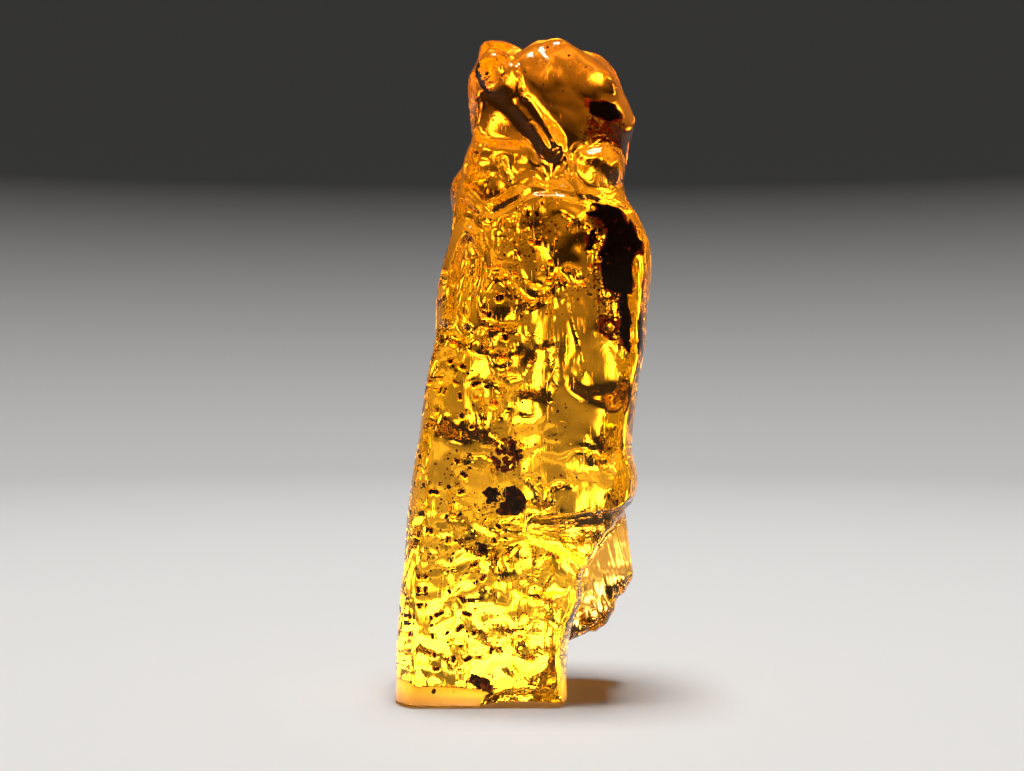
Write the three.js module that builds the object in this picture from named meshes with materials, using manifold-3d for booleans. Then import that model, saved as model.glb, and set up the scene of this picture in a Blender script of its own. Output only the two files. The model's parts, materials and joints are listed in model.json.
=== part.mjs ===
// Raw copal: a tall natural lump of clear tree resin with one polished window, and the bark
// and insect frass sealed in it. Millimetres, +Z up, the window facing -Y, the base at z = 0.
//
// The resin is one closed form. It is parted in two along the buried flow surface on which
// the debris lies, so that each sealed piece sits in a pocket of its own.

import * as THREE from "three";
import { mergeVertices } from "three/addons/utils/BufferGeometryUtils.js";
import Module from "manifold-3d";

const wasm = await Module();
wasm.setup();

// ---------------------------------------------------------------- driving dimensions

const WINDOW_Y = -13.5; // the flat, polished front
const GAP = 0.3; // clearance between pieces that lie against each other
const PAST = 24; // half the span of a cutter that reaches past the lump's sides
const ABOVE = 104; // a height that clears the lump

// The column: [height, position] down each flank, and [x, height] across its crown.
const LEFT_EDGE = [
  [0, -19.2], [10, -18.6], [20, -17.9], [30, -16.8], [40, -15.3], [50, -13.7], [58, -13.0],
  [63, -12.1], [67, -11.0], [72, -10.7], [75, -10.1], [78, -9.0], [81, -8.1], [86, -7.7],
  [91, -8.0], [93.5, -6.8], [97, -6.4],
];
const RIGHT_EDGE = [
  [0, 6.0], [9, 6.3], [15, 8.2], [18.5, 8.6], [22, 10.8], [26, 13.8], [29, 15.9], [32, 16.3],
  [36, 15.4], [41, 15.8], [46, 16.4], [50, 17.3], [57, 17.9], [62, 18.3], [66, 18.1],
  [70, 16.4], [73, 14.7], [77, 14.6], [82, 15.3], [85.5, 16.1], [90, 14.9], [95, 14.5],
];
const FRONT_EDGE = [
  [0, -17.0], [30, -17.6], [60, -17.2], [67, -15.6], [72, -13.4], [76, -11.6], [84, -10.6],
  [92, -9.6], [97, -8.0],
];
const BACK_EDGE = [
  [0, 10.0], [10, 11.0], [25, 11.6], [42, 11.4], [60, 12.2], [72, 11.0], [82, 9.6], [97, 8.0],
];
const CROWN_EDGE = [
  [-9, 93.6], [-7, 95.8], [-4.5, 96.2], [-2, 95.9], [0.2, 95.2], [2, 96.4], [3.2, 96.8],
  [5, 96.2], [8.8, 94.9], [11.6, 93.8], [13.6, 91.9], [15.5, 88.6], [17, 85],
];
const CROWN_RIDGE = -0.5; // the depth at which the crown is highest
const CROWN_FALL = 0.055; // how fast the crown drops towards front and back
const CROWN_SKEW = 0.3; // how far its dips wander sideways on their way to the back
const CROWN_TIGHTNESS = 0.8; // less than 1 softens the crown against the flanks
const CROWN_ROUND = 1.2; // rounding between crown and flanks
const BOXINESS = 3.4; // 2 is an oval section, higher is squarer

// The natural shoulder left of the window: where it meets the window, and its slope from there.
const SHOULDER_EDGE = [
  [0, -16.6], [20, -15.8], [35, -14.4], [43, -12.2], [52, -8.0], [58, -5.4], [66, -4.0], [74, -4.6],
];
const SHOULDER_SLOPE = 0.6; // radians away from the window's plane
const SHOULDER_ROUND = 2.4;

// Runs of resin that set on the column: from [x, y, z, radius] to [x, y, z, radius].
const BLEND = 1.4; // width of the fillet where a run meets what it set on
const RUNS = [
  [[10.9, 3.5, 30, 4.0], [11.7, 4.5, 17, 4.7]], // the hanging lobe: outer drip
  [[8.0, 4.5, 29, 4.6], [8.8, 5.0, 12.4, 5.0]], // its middle drip
  [[3.5, 4.0, 28, 4.6], [5.4, 4.5, 10.2, 4.1]], // its inner drip
  [[10.0, -8.6, 76.6, 3.8], [9.2, -8.9, 75.2, 3.6]], // pebble on the front of the head
  [[-4.6, -7.6, 91.5, 2.2], [3.4, -9.8, 80.0, 2.2]], // slanting band across the head
  [[-6.0, -5.0, 78.0, 2.6], [-4.0, -8.8, 73.4, 2.8]], // fold above the window, left
  [[4.5, -5.0, 93.0, 3.0], [9.5, -6.5, 88.5, 3.6]], // brow under the right-hand peak
  [[-8.6, -3.0, 74.6, 2.2], [-8.8, 1.0, 73.6, 2.4]], // shoulder knob on the left
  [[-6.0, 8.0, 66, 3.4], [-8.5, 8.0, 41, 4.6]], // long run down the back, left
  [[1.5, 8.2, 79, 3.0], [0.5, 9.0, 52, 4.5]], // long run down the back, middle
  [[9.0, 7.4, 74, 3.4], [10.5, 7.8, 47, 5.4]], // long run down the back, right
  [[-1.0, 8.6, 46, 3.2], [-3.0, 8.7, 21, 4.8]], // lower run down the back
  [[-12.5, 5.5, 33, 3.6], [-13.5, 6.0, 9, 4.6]], // foot run, back left
  [[12.0, 1.0, 58, 4.8], [13.0, -1.0, 63, 5.0]], // swelling on the right flank
];
const HOLLOWS = [
  [[1.6, -13.9, 25.0, 1.8], [16.5, -10.4, 22.8, 6.2]], // cleft under the right-hand bulge
  [[2.8, -12.2, 76.6, 1.6], [3.2, -12.0, 75.2, 1.4]], // dimple on the head
  [[4.6, -12.4, 88.0, 1.2], [9.0, -12.6, 80.4, 1.6]], // trough between band and brow
  [[-14.8, 10.5, 52.0, 2.2], [-16.0, 9.5, 46.0, 2.0]], // dent in the back left corner
  [[4.8, 14.2, 60.0, 1.5], [4.4, 14.0, 44.0, 1.8]], // furrow between two back runs
  [[15.6, 11.0, 40.0, 2.6], [17.0, 8.0, 37.0, 2.4]], // dent in the back right corner
  [[3.6, 13.8, 40.0, 1.6], [3.0, 13.2, 14.0, 2.2]], // furrow down the lower back
  [[-4.4, 12.4, 84.0, 1.6], [-6.2, 12.0, 74.0, 2.0]], // furrow down the back of the head
];

// The skin's slow waves: their height on the front and the back, where one gives way to the
// other, and their lengths.
const UNDULATION = { front: 0.15, back: 0.6, from: -6, to: 6 };
const SWAY = { x: 2.3, y: 3.9, z: 3.4, bend: 1.4, bendLength: 6.1 };
const RIPPLE = { x: 3.1, y: 1.9, z: 2.7, share: 0.5 };

// The conchoidal chip under the window: a shallow scoop along the front of the base.
const CHIP = { at: [-0.2, -14.6, -0.6], size: [6.6, 4.4, 3.3] };

// The buried flow surface, a gentle swell that the debris lies on. It comes nearer to the window
// on the right, by the lean; in the head, from one height to the next, the lean dies down.
const SWELL = { depth: -5.4, height: 1.4, level: 12, length: 13 };
const SWELL_LEAN = { body: 0.24, head: 0.07, from: 71, to: 79 };

// Frass pellets: [x, z, length, width, lean of the top to the right of upright in degrees].
const PELLETS = [
  [1.6, 65.8, 1.6, 1.0, 80], [-3.7, 58.0, 1.7, 1.4, 60], [-5.2, 55.6, 1.3, 1.0, 20],
  [-2.9, 52.3, 1.4, 1.0, -30], [-3.5, 49.2, 1.4, 1.0, 40], [-8.8, 47.9, 1.0, 0.9, 10],
  [-7.1, 45.5, 1.6, 0.9, 65], [-9.4, 43.7, 1.2, 0.7, 0], [-9.2, 40.9, 1.2, 1.0, -10],
  [-7.8, 39.3, 0.9, 0.7, 70], [-10.0, 34.3, 1.1, 0.7, -50], [-9.0, 32.4, 1.3, 0.9, -35],
  [-12.9, 29.7, 1.2, 0.8, -55], [-9.4, 29.9, 1.2, 0.9, 60], [-10.7, 26.2, 1.3, 0.8, -22],
  [-4.1, 24.8, 1.2, 0.7, -45], [-13.7, 24.0, 1.2, 0.7, -5], [-11.3, 22.7, 1.3, 0.8, 10],
  [-4.7, 22.6, 1.2, 0.8, 15], [-7.7, 18.9, 1.3, 0.7, 75], [-6.2, 17.3, 1.3, 0.8, 35],
  [-14.4, 17.3, 1.0, 0.7, 30], [-14.5, 15.5, 1.1, 0.7, 10], [-9.1, 14.1, 1.5, 0.9, -38],
  [-14.5, 13.1, 1.0, 0.6, 25], [-12.5, 12.0, 1.7, 0.8, 65], [-8.5, 12.1, 1.6, 0.8, -70],
  [-9.6, 10.0, 1.5, 0.9, 48], [-7.5, 9.4, 1.1, 0.9, 0], [-13.5, 8.8, 1.0, 0.7, 5],
  [-13.2, 6.1, 1.0, 0.8, -20], [-10.5, 5.6, 1.3, 0.8, -5], [-8.4, 5.7, 1.6, 0.8, 65],
  [-5.0, 6.9, 1.2, 0.8, 18], [-13.0, 4.1, 1.2, 0.8, 85],
];

// Lumps of debris: centre [x, z], size [x, y, z] and lean of the top to the right in degrees.
const LUMPS = {
  dark_fragment: { at: [-2.1, 28.6], size: [4.6, 2.0, 3.8], lean: -20 },
  ragged_fragment: { at: [-5.6, 29.2], size: [2.2, 1.4, 2.8], lean: 25 },
  grain_cluster: { at: [-2.7, 35.4], size: [3.6, 1.6, 4.2], lean: 30 },
  bark_chip: { at: [-6.6, 21.6], size: [1.4, 1.2, 2.2], lean: -38 },
  base_lump: { at: [-6.6, 2.4], size: [1.9, 1.6, 3.9], lean: -62 },
};

// Sheets of bark: outline as [x, z] points, and thickness.
const SHEETS = {
  bark_patch: {
    thickness: 1.1,
    outline: [
      [8.6, 70.3], [12.9, 70.6], [13.9, 68.6], [15.2, 68.5], [16.1, 65.8], [16.1, 60.2],
      [14.9, 58.0], [15.2, 50.4], [14.6, 49.7], [13.4, 51.4], [11.0, 52.4], [10.6, 54.6],
      [12.6, 57.4], [10.8, 59.2], [10.4, 62.6], [11.1, 66.6], [10.3, 69.0], [8.8, 69.2],
    ],
  },
  bark_sliver: {
    thickness: 0.8,
    outline: [[9.0, 67.9], [9.9, 67.6], [10.1, 66.2], [9.0, 64.0], [8.2, 64.6], [8.6, 66.6]],
  },
  head_debris: {
    thickness: 1.4,
    outline: [
      [9.0, 86.6], [12.6, 86.4], [13.9, 84.6], [13.4, 82.2], [12.2, 79.6], [9.6, 79.3],
      [8.6, 81.6], [8.0, 85.0],
    ],
  },
  head_crust: {
    thickness: 1.6,
    outline: [
      [-5.6, 92.9], [-4.9, 92.4], [-4.6, 91.0], [-4.9, 89.8], [-3.8, 88.2], [-4.5, 87.4],
      [-5.7, 89.2], [-6.4, 90.6], [-6.4, 92.0],
    ],
  },
};

// The mesh of the resin's skin, and of the parting surface.
const SPINE_TOP = 84; // above it the skin is a dome, below it a column
const SPINE_FOOT = -2;
const SKIN = { around: 48, up: 38, dome: 8 };
const PARTING = { across: 6, up: 12 };
const SEARCH = { reach: 40, step: 0.5, halvings: 18 }; // how a ray finds the skin
const CHIP_FACES = { around: 20, up: 12 };
const ROUND_LUMP = 3; // lumps at least this long have the finer mesh
const LUMP_DENT = 0.12; // the deepest dent in a lump, as a share of its size

const COLOURS = {
  resin: 0xd9951a,
  bark: 0x1c0f08,
  redBark: 0x5a1d0a,
  frass: 0x21100a,
};

// ---------------------------------------------------------------- the form of the resin

// The smooth curve through [place, value] points, held level past its two ends.
function along(points, place) {
  const last = points.length - 1;
  if (place <= points[0][0]) return points[0][1];
  if (place >= points[last][0]) return points[last][1];
  const i = points.findIndex(([p]) => p > place) - 1;
  const slope = (k) => {
    const [a, b] = [points[Math.max(k - 1, 0)], points[Math.min(k + 1, last)]];
    return (b[1] - a[1]) / (b[0] - a[0]);
  };
  const [[p0, v0], [p1, v1]] = [points[i], points[i + 1]];
  const span = p1 - p0;
  const t = (place - p0) / span;
  return (
    v0 * (1 + 2 * t) * (1 - t) ** 2 +
    v1 * t * t * (3 - 2 * t) +
    span * t * (1 - t) * (slope(i) * (1 - t) - slope(i + 1) * t)
  );
}

// The lesser of two distances, with a fillet of the given width where they are alike.
function smoothMin(a, b, width) {
  const overlap = Math.max(width - Math.abs(a - b), 0) / width;
  return Math.min(a, b) - overlap * overlap * width * 0.25;
}

// The distance from a point to the skin of a tapered run, less than zero inside it.
function runDistance([x, y, z], [[x0, y0, z0, r0], [x1, y1, z1, r1]]) {
  const [dx, dy, dz] = [x1 - x0, y1 - y0, z1 - z0];
  const share = ((x - x0) * dx + (y - y0) * dy + (z - z0) * dz) / (dx * dx + dy * dy + dz * dz);
  const t = Math.min(Math.max(share, 0), 1);
  return Math.hypot(x - x0 - t * dx, y - y0 - t * dy, z - z0 - t * dz) - r0 - t * (r1 - r0);
}

// The plain column: a boxy oval section between the flanks, closed by the crown.
function columnDistance([x, y, z]) {
  const [left, right] = [along(LEFT_EDGE, z), along(RIGHT_EDGE, z)];
  const [front, back] = [along(FRONT_EDGE, z), along(BACK_EDGE, z)];
  const [halfWidth, halfDepth] = [(right - left) / 2, (back - front) / 2];
  const u = Math.abs(x - (left + right) / 2) / halfWidth;
  const v = Math.abs(y - (front + back) / 2) / halfDepth;
  const across = (u ** BOXINESS + v ** BOXINESS) ** (1 / BOXINESS) - 1;
  const flanks = across * Math.min(halfWidth, halfDepth);
  const fall = CROWN_FALL * (y - CROWN_RIDGE) ** 2;
  const crown = (z - along(CROWN_EDGE, x - CROWN_SKEW * y) + fall) * CROWN_TIGHTNESS;
  const body = -smoothMin(-flanks, -crown, CROWN_ROUND);
  const leftOfWindow = (along(SHOULDER_EDGE, z) - x) * Math.sin(SHOULDER_SLOPE);
  const beforeWindow = (WINDOW_Y - y) * Math.cos(SHOULDER_SLOPE);
  return -smoothMin(-body, -leftOfWindow - beforeWindow, SHOULDER_ROUND);
}

// The skin's slow undulation, stronger on the back than on the front.
function undulation([x, y, z]) {
  const { front, back, from, to } = UNDULATION;
  const strength = front + (back - front) * THREE.MathUtils.smoothstep(y, from, to);
  const bent = x / SWAY.x + SWAY.bend * Math.sin(z / SWAY.bendLength);
  const sway = Math.sin(bent) * Math.sin(z / SWAY.z + y / SWAY.y);
  const ripple = Math.sin(y / RIPPLE.y + z / RIPPLE.z - x / RIPPLE.x);
  return strength * (sway + RIPPLE.share * ripple);
}

// The distance from a point to the resin's natural skin, less than zero inside the resin.
function resinDistance(point) {
  let distance = columnDistance(point) + undulation(point);
  for (const run of RUNS) distance = smoothMin(distance, runDistance(point, run), BLEND);
  for (const run of HOLLOWS) distance = -smoothMin(-distance, runDistance(point, run), BLEND);
  return distance;
}

// The depth of the buried flow surface at a place in the window.
function flowDepth(x, z) {
  const { body, head, from, to } = SWELL_LEAN;
  const lean = body + (head - body) * THREE.MathUtils.smoothstep(z, from, to);
  return SWELL.depth + SWELL.height * Math.sin((z - SWELL.level) / SWELL.length) - lean * x;
}

// ---------------------------------------------------------------- solids and meshes

// A closed geometry as a solid that can be joined and cut.
function solidOf(geometry) {
  const bare = new THREE.BufferGeometry();
  bare.setAttribute("position", geometry.getAttribute("position"));
  bare.setIndex(geometry.getIndex());
  const merged = mergeVertices(bare, 1e-4);
  const corners = merged.index.array;
  const triVerts = [];
  for (let i = 0; i < corners.length; i += 3) {
    const [a, b, c] = corners.slice(i, i + 3);
    if (a !== b && b !== c && c !== a) triVerts.push(a, b, c);
  }
  return new wasm.Manifold(
    new wasm.Mesh({
      numProp: 3,
      vertProperties: Float32Array.from(merged.getAttribute("position").array),
      triVerts: Uint32Array.from(triVerts),
    }),
  );
}

function geometryOf(solid) {
  const mesh = solid.getMesh();
  const geometry = new THREE.BufferGeometry();
  geometry.setAttribute("position", new THREE.BufferAttribute(mesh.vertProperties, 3));
  geometry.setIndex(new THREE.BufferAttribute(mesh.triVerts, 1));
  geometry.computeVertexNormals();
  return geometry;
}

// Moves each vertex of a geometry to where move([x, y, z]) says.
function moveVertices(geometry, move) {
  const position = geometry.getAttribute("position");
  for (let i = 0; i < position.count; i++) {
    position.setXYZ(i, ...move([position.getX(i), position.getY(i), position.getZ(i)]));
  }
  return geometry;
}

function box(from, to, segments = [1, 1, 1]) {
  const size = to.map((value, axis) => value - from[axis]);
  const middle = to.map((value, axis) => (value + from[axis]) / 2);
  return new THREE.BoxGeometry(...size, ...segments).translate(...middle);
}

// ---------------------------------------------------------------- the resin

// The middle of the column's section at a height.
function spineAt(z) {
  const x = (along(LEFT_EDGE, z) + along(RIGHT_EDGE, z)) / 2;
  const y = (along(FRONT_EDGE, z) + along(BACK_EDGE, z)) / 2;
  return [x, y, z];
}

// The point where a ray from inside the resin leaves its outermost skin.
function skinPoint(start, direction) {
  const { reach, step, halvings } = SEARCH;
  const at = (distance) => start.map((value, axis) => value + distance * direction[axis]);
  let outside = reach;
  while (outside > step && resinDistance(at(outside - step)) > 0) outside -= step;
  let inside = outside - step;
  for (let round = 0; round < halvings; round++) {
    const middle = (inside + outside) / 2;
    if (resinDistance(at(middle)) > 0) outside = middle;
    else inside = middle;
  }
  return at(inside);
}

// The natural lump: a capsule about the spine, every vertex pushed out onto the skin.
function naturalLump() {
  const straight = SPINE_TOP - SPINE_FOOT;
  const middle = (SPINE_TOP + SPINE_FOOT) / 2;
  const capsule = new THREE.CapsuleGeometry(1, straight, SKIN.dome, SKIN.around, SKIN.up);
  capsule.rotateX(Math.PI / 2);
  return moveVertices(capsule, ([x, y, z]) => {
    const level = THREE.MathUtils.clamp(z, -straight / 2, straight / 2);
    const tilt = z > 0 ? z - level : 0;
    return skinPoint(spineAt(middle + level), new THREE.Vector3(x, y, tilt).normalize().toArray());
  });
}

// The lump with its flat base, its polished window and the chip out of the base's edge.
function resinSolid() {
  const kept = solidOf(box([-PAST, WINDOW_Y, 0], [PAST, PAST, ABOVE]));
  const chip = new THREE.SphereGeometry(1, CHIP_FACES.around, CHIP_FACES.up);
  chip.scale(...CHIP.size).translate(...CHIP.at);
  return solidOf(naturalLump()).intersect(kept).subtract(solidOf(chip));
}

// All that lies on one side of the flow surface, half the gap away from it.
function sideOfFlow(side) {
  const [front, back] = side < 0 ? [-PAST, 0] : [0, PAST];
  const block = box([-PAST, front, -1], [PAST, back, ABOVE], [PARTING.across, 1, PARTING.up]);
  const bent = moveVertices(block, ([x, y, z]) => {
    return [x, y === 0 ? flowDepth(x, z) + (side * GAP) / 2 : y, z];
  });
  return solidOf(bent);
}

// ---------------------------------------------------------------- what is sealed in it

// A pellet is a stubby rod, a touch narrower at its ends; room is the space left around it.
function pellet([x, z, length, width, lean], room = 0) {
  const radius = width / 2 + room;
  const straight = Math.max(length - width, 0.15);
  return new THREE.CapsuleGeometry(radius, straight, 1, 6, 1)
    .rotateX(Math.PI / 2)
    .rotateY(THREE.MathUtils.degToRad(lean))
    .translate(x, flowDepth(x, z), z);
}

// A lump is a ball with shallow dents, stretched to its size.
function lump({ at: [x, z], size, lean }, room = 0) {
  const dents = ([u, v, w]) => Math.abs(Math.sin(3.1 * u + 2.2 * w) * Math.cos(2.7 * v - w));
  const detail = Math.max(...size) > ROUND_LUMP ? 1 : 0;
  const ball = moveVertices(new THREE.IcosahedronGeometry(1, detail), (p) => {
    const depth = room > 0 ? 1 : 1 - LUMP_DENT * dents(p);
    return p.map((value, axis) => value * depth * (size[axis] / 2 + room));
  });
  return ball.rotateY(THREE.MathUtils.degToRad(lean)).translate(x, flowDepth(x, z), z);
}

// A sheet of bark is its outline, as thick as stated, bent to lie along the flow surface.
function sheet({ outline, thickness }, room = 0) {
  const shape = new THREE.Shape(outline.map(([x, z]) => new THREE.Vector2(x, z)));
  const depth = thickness + 2 * room;
  const widened = { bevelEnabled: true, bevelThickness: 0, bevelSize: room, bevelSegments: 0 };
  const plate = new THREE.ExtrudeGeometry(shape, { depth, steps: 1, ...widened });
  plate.rotateX(Math.PI / 2);
  return moveVertices(plate, ([x, y, z]) => [x, y + depth / 2 + flowDepth(x, z), z]);
}

// Every sealed piece: its name, its colour, its own form and the pocket that it lies in.
function sealedPieces() {
  const pieces = [];
  const add = (name, colour, make, values) =>
    pieces.push({ name, colour, form: make(values), pocket: make(values, GAP) });
  for (const [name, values] of Object.entries(SHEETS)) add(name, COLOURS.bark, sheet, values);
  for (const [name, values] of Object.entries(LUMPS)) {
    add(name, name === "grain_cluster" ? COLOURS.redBark : COLOURS.bark, lump, values);
  }
  PELLETS.forEach((values, index) => {
    add(`frass_pellet_${String(index + 1).padStart(2, "0")}`, COLOURS.frass, pellet, values);
  });
  return pieces;
}

// ---------------------------------------------------------------- the assembly

const copal = new THREE.Group();

function addMesh(name, geometry, look) {
  const mesh = new THREE.Mesh(geometry, new THREE.MeshStandardMaterial(look));
  mesh.name = name;
  copal.add(mesh);
}

const sealed = sealedPieces();
const pockets = sealed.map(({ pocket }) => solidOf(pocket)).reduce((all, one) => all.add(one));
const resin = resinSolid().subtract(pockets);
const clear = { color: COLOURS.resin, roughness: 0.08, transparent: true, opacity: 0.45 };

addMesh("copal_front", geometryOf(resin.intersect(sideOfFlow(-1))), clear);
addMesh("copal_back", geometryOf(resin.intersect(sideOfFlow(1))), clear);
for (const { name, colour, form } of sealed) {
  addMesh(name, geometryOf(solidOf(form)), { color: colour, roughness: 0.85 });
}

export default copal;
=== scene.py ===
"""Raw copal in a plain studio: one clear lump of resin, and the bark and frass sealed in it.

The form of the resin is worked out in millimetres from the same named values as the solid
model, meshed finely, and scaled to metres as each mesh is made.
"""

import json
import math
from itertools import product

import bmesh
import bpy
import numpy as np
from mathutils import Matrix, Vector

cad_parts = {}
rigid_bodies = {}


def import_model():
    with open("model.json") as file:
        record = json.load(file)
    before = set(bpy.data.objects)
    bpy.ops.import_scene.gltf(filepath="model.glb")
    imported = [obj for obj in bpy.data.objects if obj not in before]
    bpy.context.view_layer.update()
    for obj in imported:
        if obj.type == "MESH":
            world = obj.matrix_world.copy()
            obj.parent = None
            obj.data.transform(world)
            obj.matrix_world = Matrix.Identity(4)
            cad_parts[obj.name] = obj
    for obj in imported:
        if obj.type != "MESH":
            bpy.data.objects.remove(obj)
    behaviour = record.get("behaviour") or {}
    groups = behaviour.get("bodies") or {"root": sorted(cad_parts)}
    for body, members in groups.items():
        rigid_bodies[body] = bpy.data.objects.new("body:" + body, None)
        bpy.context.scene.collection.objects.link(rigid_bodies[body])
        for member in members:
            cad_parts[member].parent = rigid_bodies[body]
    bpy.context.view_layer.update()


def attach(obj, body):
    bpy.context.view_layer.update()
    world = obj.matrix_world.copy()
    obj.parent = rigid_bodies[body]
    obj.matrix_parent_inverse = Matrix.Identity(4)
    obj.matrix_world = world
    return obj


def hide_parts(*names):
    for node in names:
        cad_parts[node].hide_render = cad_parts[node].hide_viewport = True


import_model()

MM = 0.001

# -------- the form of the lump, in millimetres

WINDOW_Y = -13.5  # the flat, polished front

# The outlines of the column, as (height, place), and of its crown, as (x, height).
LEFT_EDGE = [
    (0, -19.2), (10, -18.6), (20, -17.9), (30, -16.8), (40, -15.3), (50, -13.7), (58, -13),
    (63, -12.1), (67, -11), (72, -10.7), (75, -10.1), (78, -9), (81, -8.1), (86, -7.7),
    (91, -8), (93.5, -6.8), (97, -6.4),
]
RIGHT_EDGE = [
    (0, 6), (9, 6.3), (15, 8.2), (18.5, 8.6), (22, 10.8), (26, 13.8), (29, 15.9), (32, 16.3),
    (36, 15.4), (41, 15.8), (46, 16.4), (50, 17.3), (57, 17.9), (62, 18.3), (66, 18.1),
    (70, 16.4), (73, 14.7), (77, 14.6), (82, 15.3), (85.5, 16.1), (90, 14.9), (95, 14.5),
]
FRONT_EDGE = [
    (0, -17), (30, -17.6), (60, -17.2), (67, -15.6), (72, -13.4), (76, -11.6), (84, -10.6),
    (92, -9.6), (97, -8),
]
BACK_EDGE = [
    (0, 10), (10, 11), (25, 11.6), (42, 11.4), (60, 12.2), (72, 11), (82, 9.6), (97, 8),
]
CROWN_EDGE = [
    (-9, 93.6), (-7, 95.8), (-4.5, 96.2), (-2, 95.9), (0.2, 95.2), (2, 96.4), (3.2, 96.8),
    (5, 96.2), (8.8, 94.9), (11.6, 93.8), (13.6, 91.9), (15.5, 88.6), (17, 85),
]
CROWN_RIDGE = -0.5  # the depth at which the crown is highest
CROWN_FALL = 0.055  # how fast the crown drops towards front and back
CROWN_SKEW = 0.3  # how far its dips wander sideways on their way to the back
CROWN_TIGHTNESS = 0.8  # less than 1 softens the crown against the flanks
CROWN_ROUND = 1.2  # rounding between crown and flanks
BOXINESS = 3.4  # 2 is an oval section, higher is squarer

# The facet left of the window: where it starts (height, x), and how far it turns away.
SHOULDER_EDGE = [
    (0, -16.6), (20, -15.8), (35, -14.4), (43, -12.2), (52, -8), (58, -5.4), (66, -4), (74, -4.6),
]
SHOULDER_SLOPE = 0.6
SHOULDER_ROUND = 2.4

BLEND = 1.4  # width of the fillet where a run meets what it set on
# Drips and hollows, as tapered runs between two balls (x, y, z, radius).
RUNS = [
    ((10.9, 3.5, 30, 4), (11.7, 4.5, 17, 4.7)),  # the hanging lobe: outer drip
    ((8, 4.5, 29, 4.6), (8.8, 5, 12.4, 5)),  # its middle drip
    ((3.5, 4, 28, 4.6), (5.4, 4.5, 10.2, 4.1)),  # its inner drip
    ((10, -8.6, 76.6, 3.8), (9.2, -8.9, 75.2, 3.6)),  # pebble on the front of the head
    ((-4.6, -7.6, 91.5, 2.2), (3.4, -9.8, 80, 2.2)),  # slanting band across the head
    ((-6, -5, 78, 2.6), (-4, -8.8, 73.4, 2.8)),  # fold above the window, left
    ((4.5, -5, 93, 3), (9.5, -6.5, 88.5, 3.6)),  # brow under the right-hand peak
    ((-8.6, -3, 74.6, 2.2), (-8.8, 1, 73.6, 2.4)),  # shoulder knob on the left
    ((-6, 8, 66, 3.4), (-8.5, 8, 41, 4.6)),  # long run down the back, left
    ((1.5, 8.2, 79, 3), (0.5, 9, 52, 4.5)),  # long run down the back, middle
    ((9, 7.4, 74, 3.4), (10.5, 7.8, 47, 5.4)),  # long run down the back, right
    ((-1, 8.6, 46, 3.2), (-3, 8.7, 21, 4.8)),  # lower run down the back
    ((-12.5, 5.5, 33, 3.6), (-13.5, 6, 9, 4.6)),  # foot run, back left
    ((12, 1, 58, 4.8), (13, -1, 63, 5)),  # swelling on the right flank
]
HOLLOWS = [
    ((1.6, -13.9, 25, 1.8), (16.5, -10.4, 22.8, 6.2)),  # cleft under the right-hand bulge
    ((2.8, -12.2, 76.6, 1.6), (3.2, -12, 75.2, 1.4)),  # dimple on the head
    ((4.6, -12.4, 88, 1.2), (9, -12.6, 80.4, 1.6)),  # trough between band and brow
    ((-14.8, 10.5, 52, 2.2), (-16, 9.5, 46, 2)),  # dents in the back and the left flank
    ((4.8, 14.2, 60, 1.5), (4.4, 14, 44, 1.8)),
    ((15.6, 11, 40, 2.6), (17, 8, 37, 2.4)),
    ((3.6, 13.8, 40, 1.6), (3, 13.2, 14, 2.2)),
    ((-4.4, 12.4, 84, 1.6), (-6.2, 12, 74, 2)),
]
# The skin's slow undulation: its depth before and behind, and the depths in the lump between
# which one gives way to the other.
UNDULATION = {"front": 0.15, "back": 0.6, "from": -6, "to": 6}
# The two waves that make it up: their lengths along each axis, and how the first is bent.
SWAY = {"x": 2.3, "y": 3.9, "z": 3.4, "bend": 1.4, "bend_length": 6.1}
RIPPLE = {"x": 3.1, "y": 1.9, "z": 2.7, "share": 0.5}
CHIP_AT = (-0.2, -14.6, -0.6)
CHIP_SIZE = (6.6, 4.4, 3.3)
CHIP_RIPPLE = (4.5, -2, 9, 0.05)  # the centre x and z of its ripples, how close and how deep
CHIP_ROUND = 0.25

# The flow surface, on which the debris was caught: a slow wave, nearer the window to the right.
SWELL_DEPTH = -5.4
SWELL_HEIGHT = 1.4
SWELL_LEVEL = 12
SWELL_LENGTH = 13
SWELL_LEAN = (0.24, 0.07)  # in the body and in the head
SWELL_LEAN_FADE = (71, 79)  # the heights between which one gives way to the other

# -------- the relief of its skin

# Ridges on the back, seen through the window: height, half width, and a path (x, z).
BACK_RIDGES = [
    (0.75, 0.5, [(-5.9, 66.7), (-4.9, 64.5), (-3.4, 62.2), (-1.9, 60.2), (-0.4, 58.2), (1.1, 57.2),
                (2.4, 58), (3.1, 59.7), (4.3, 61.2), (5.4, 61.4)]),
    (0.6, 0.5, [(-2.6, 61.6), (-4, 61.5), (-5.4, 60.7), (-6.4, 59.2), (-6.9, 57.7), (-6.4, 55.7),
                (-4.9, 54.2), (-3.4, 54), (-1.4, 53.8)]),
    (0.55, 0.45, [(-6.1, 53.2), (-6.4, 51.7), (-5.4, 50.2), (-3.9, 49.5), (-2.6, 50.2)]),
    (0.55, 0.45, [(-6.4, 44), (-6.9, 42.2), (-6.1, 40.5)]),
    (0.55, 0.45, [(-4.9, 45.8), (-2.9, 44.3), (-2.5, 42), (-3.4, 40.5)]),
    (0.3, 0.45, [(5.6, 62), (6.6, 59.6), (7, 55), (8.4, 51), (9, 47.4)]),
]
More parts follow.
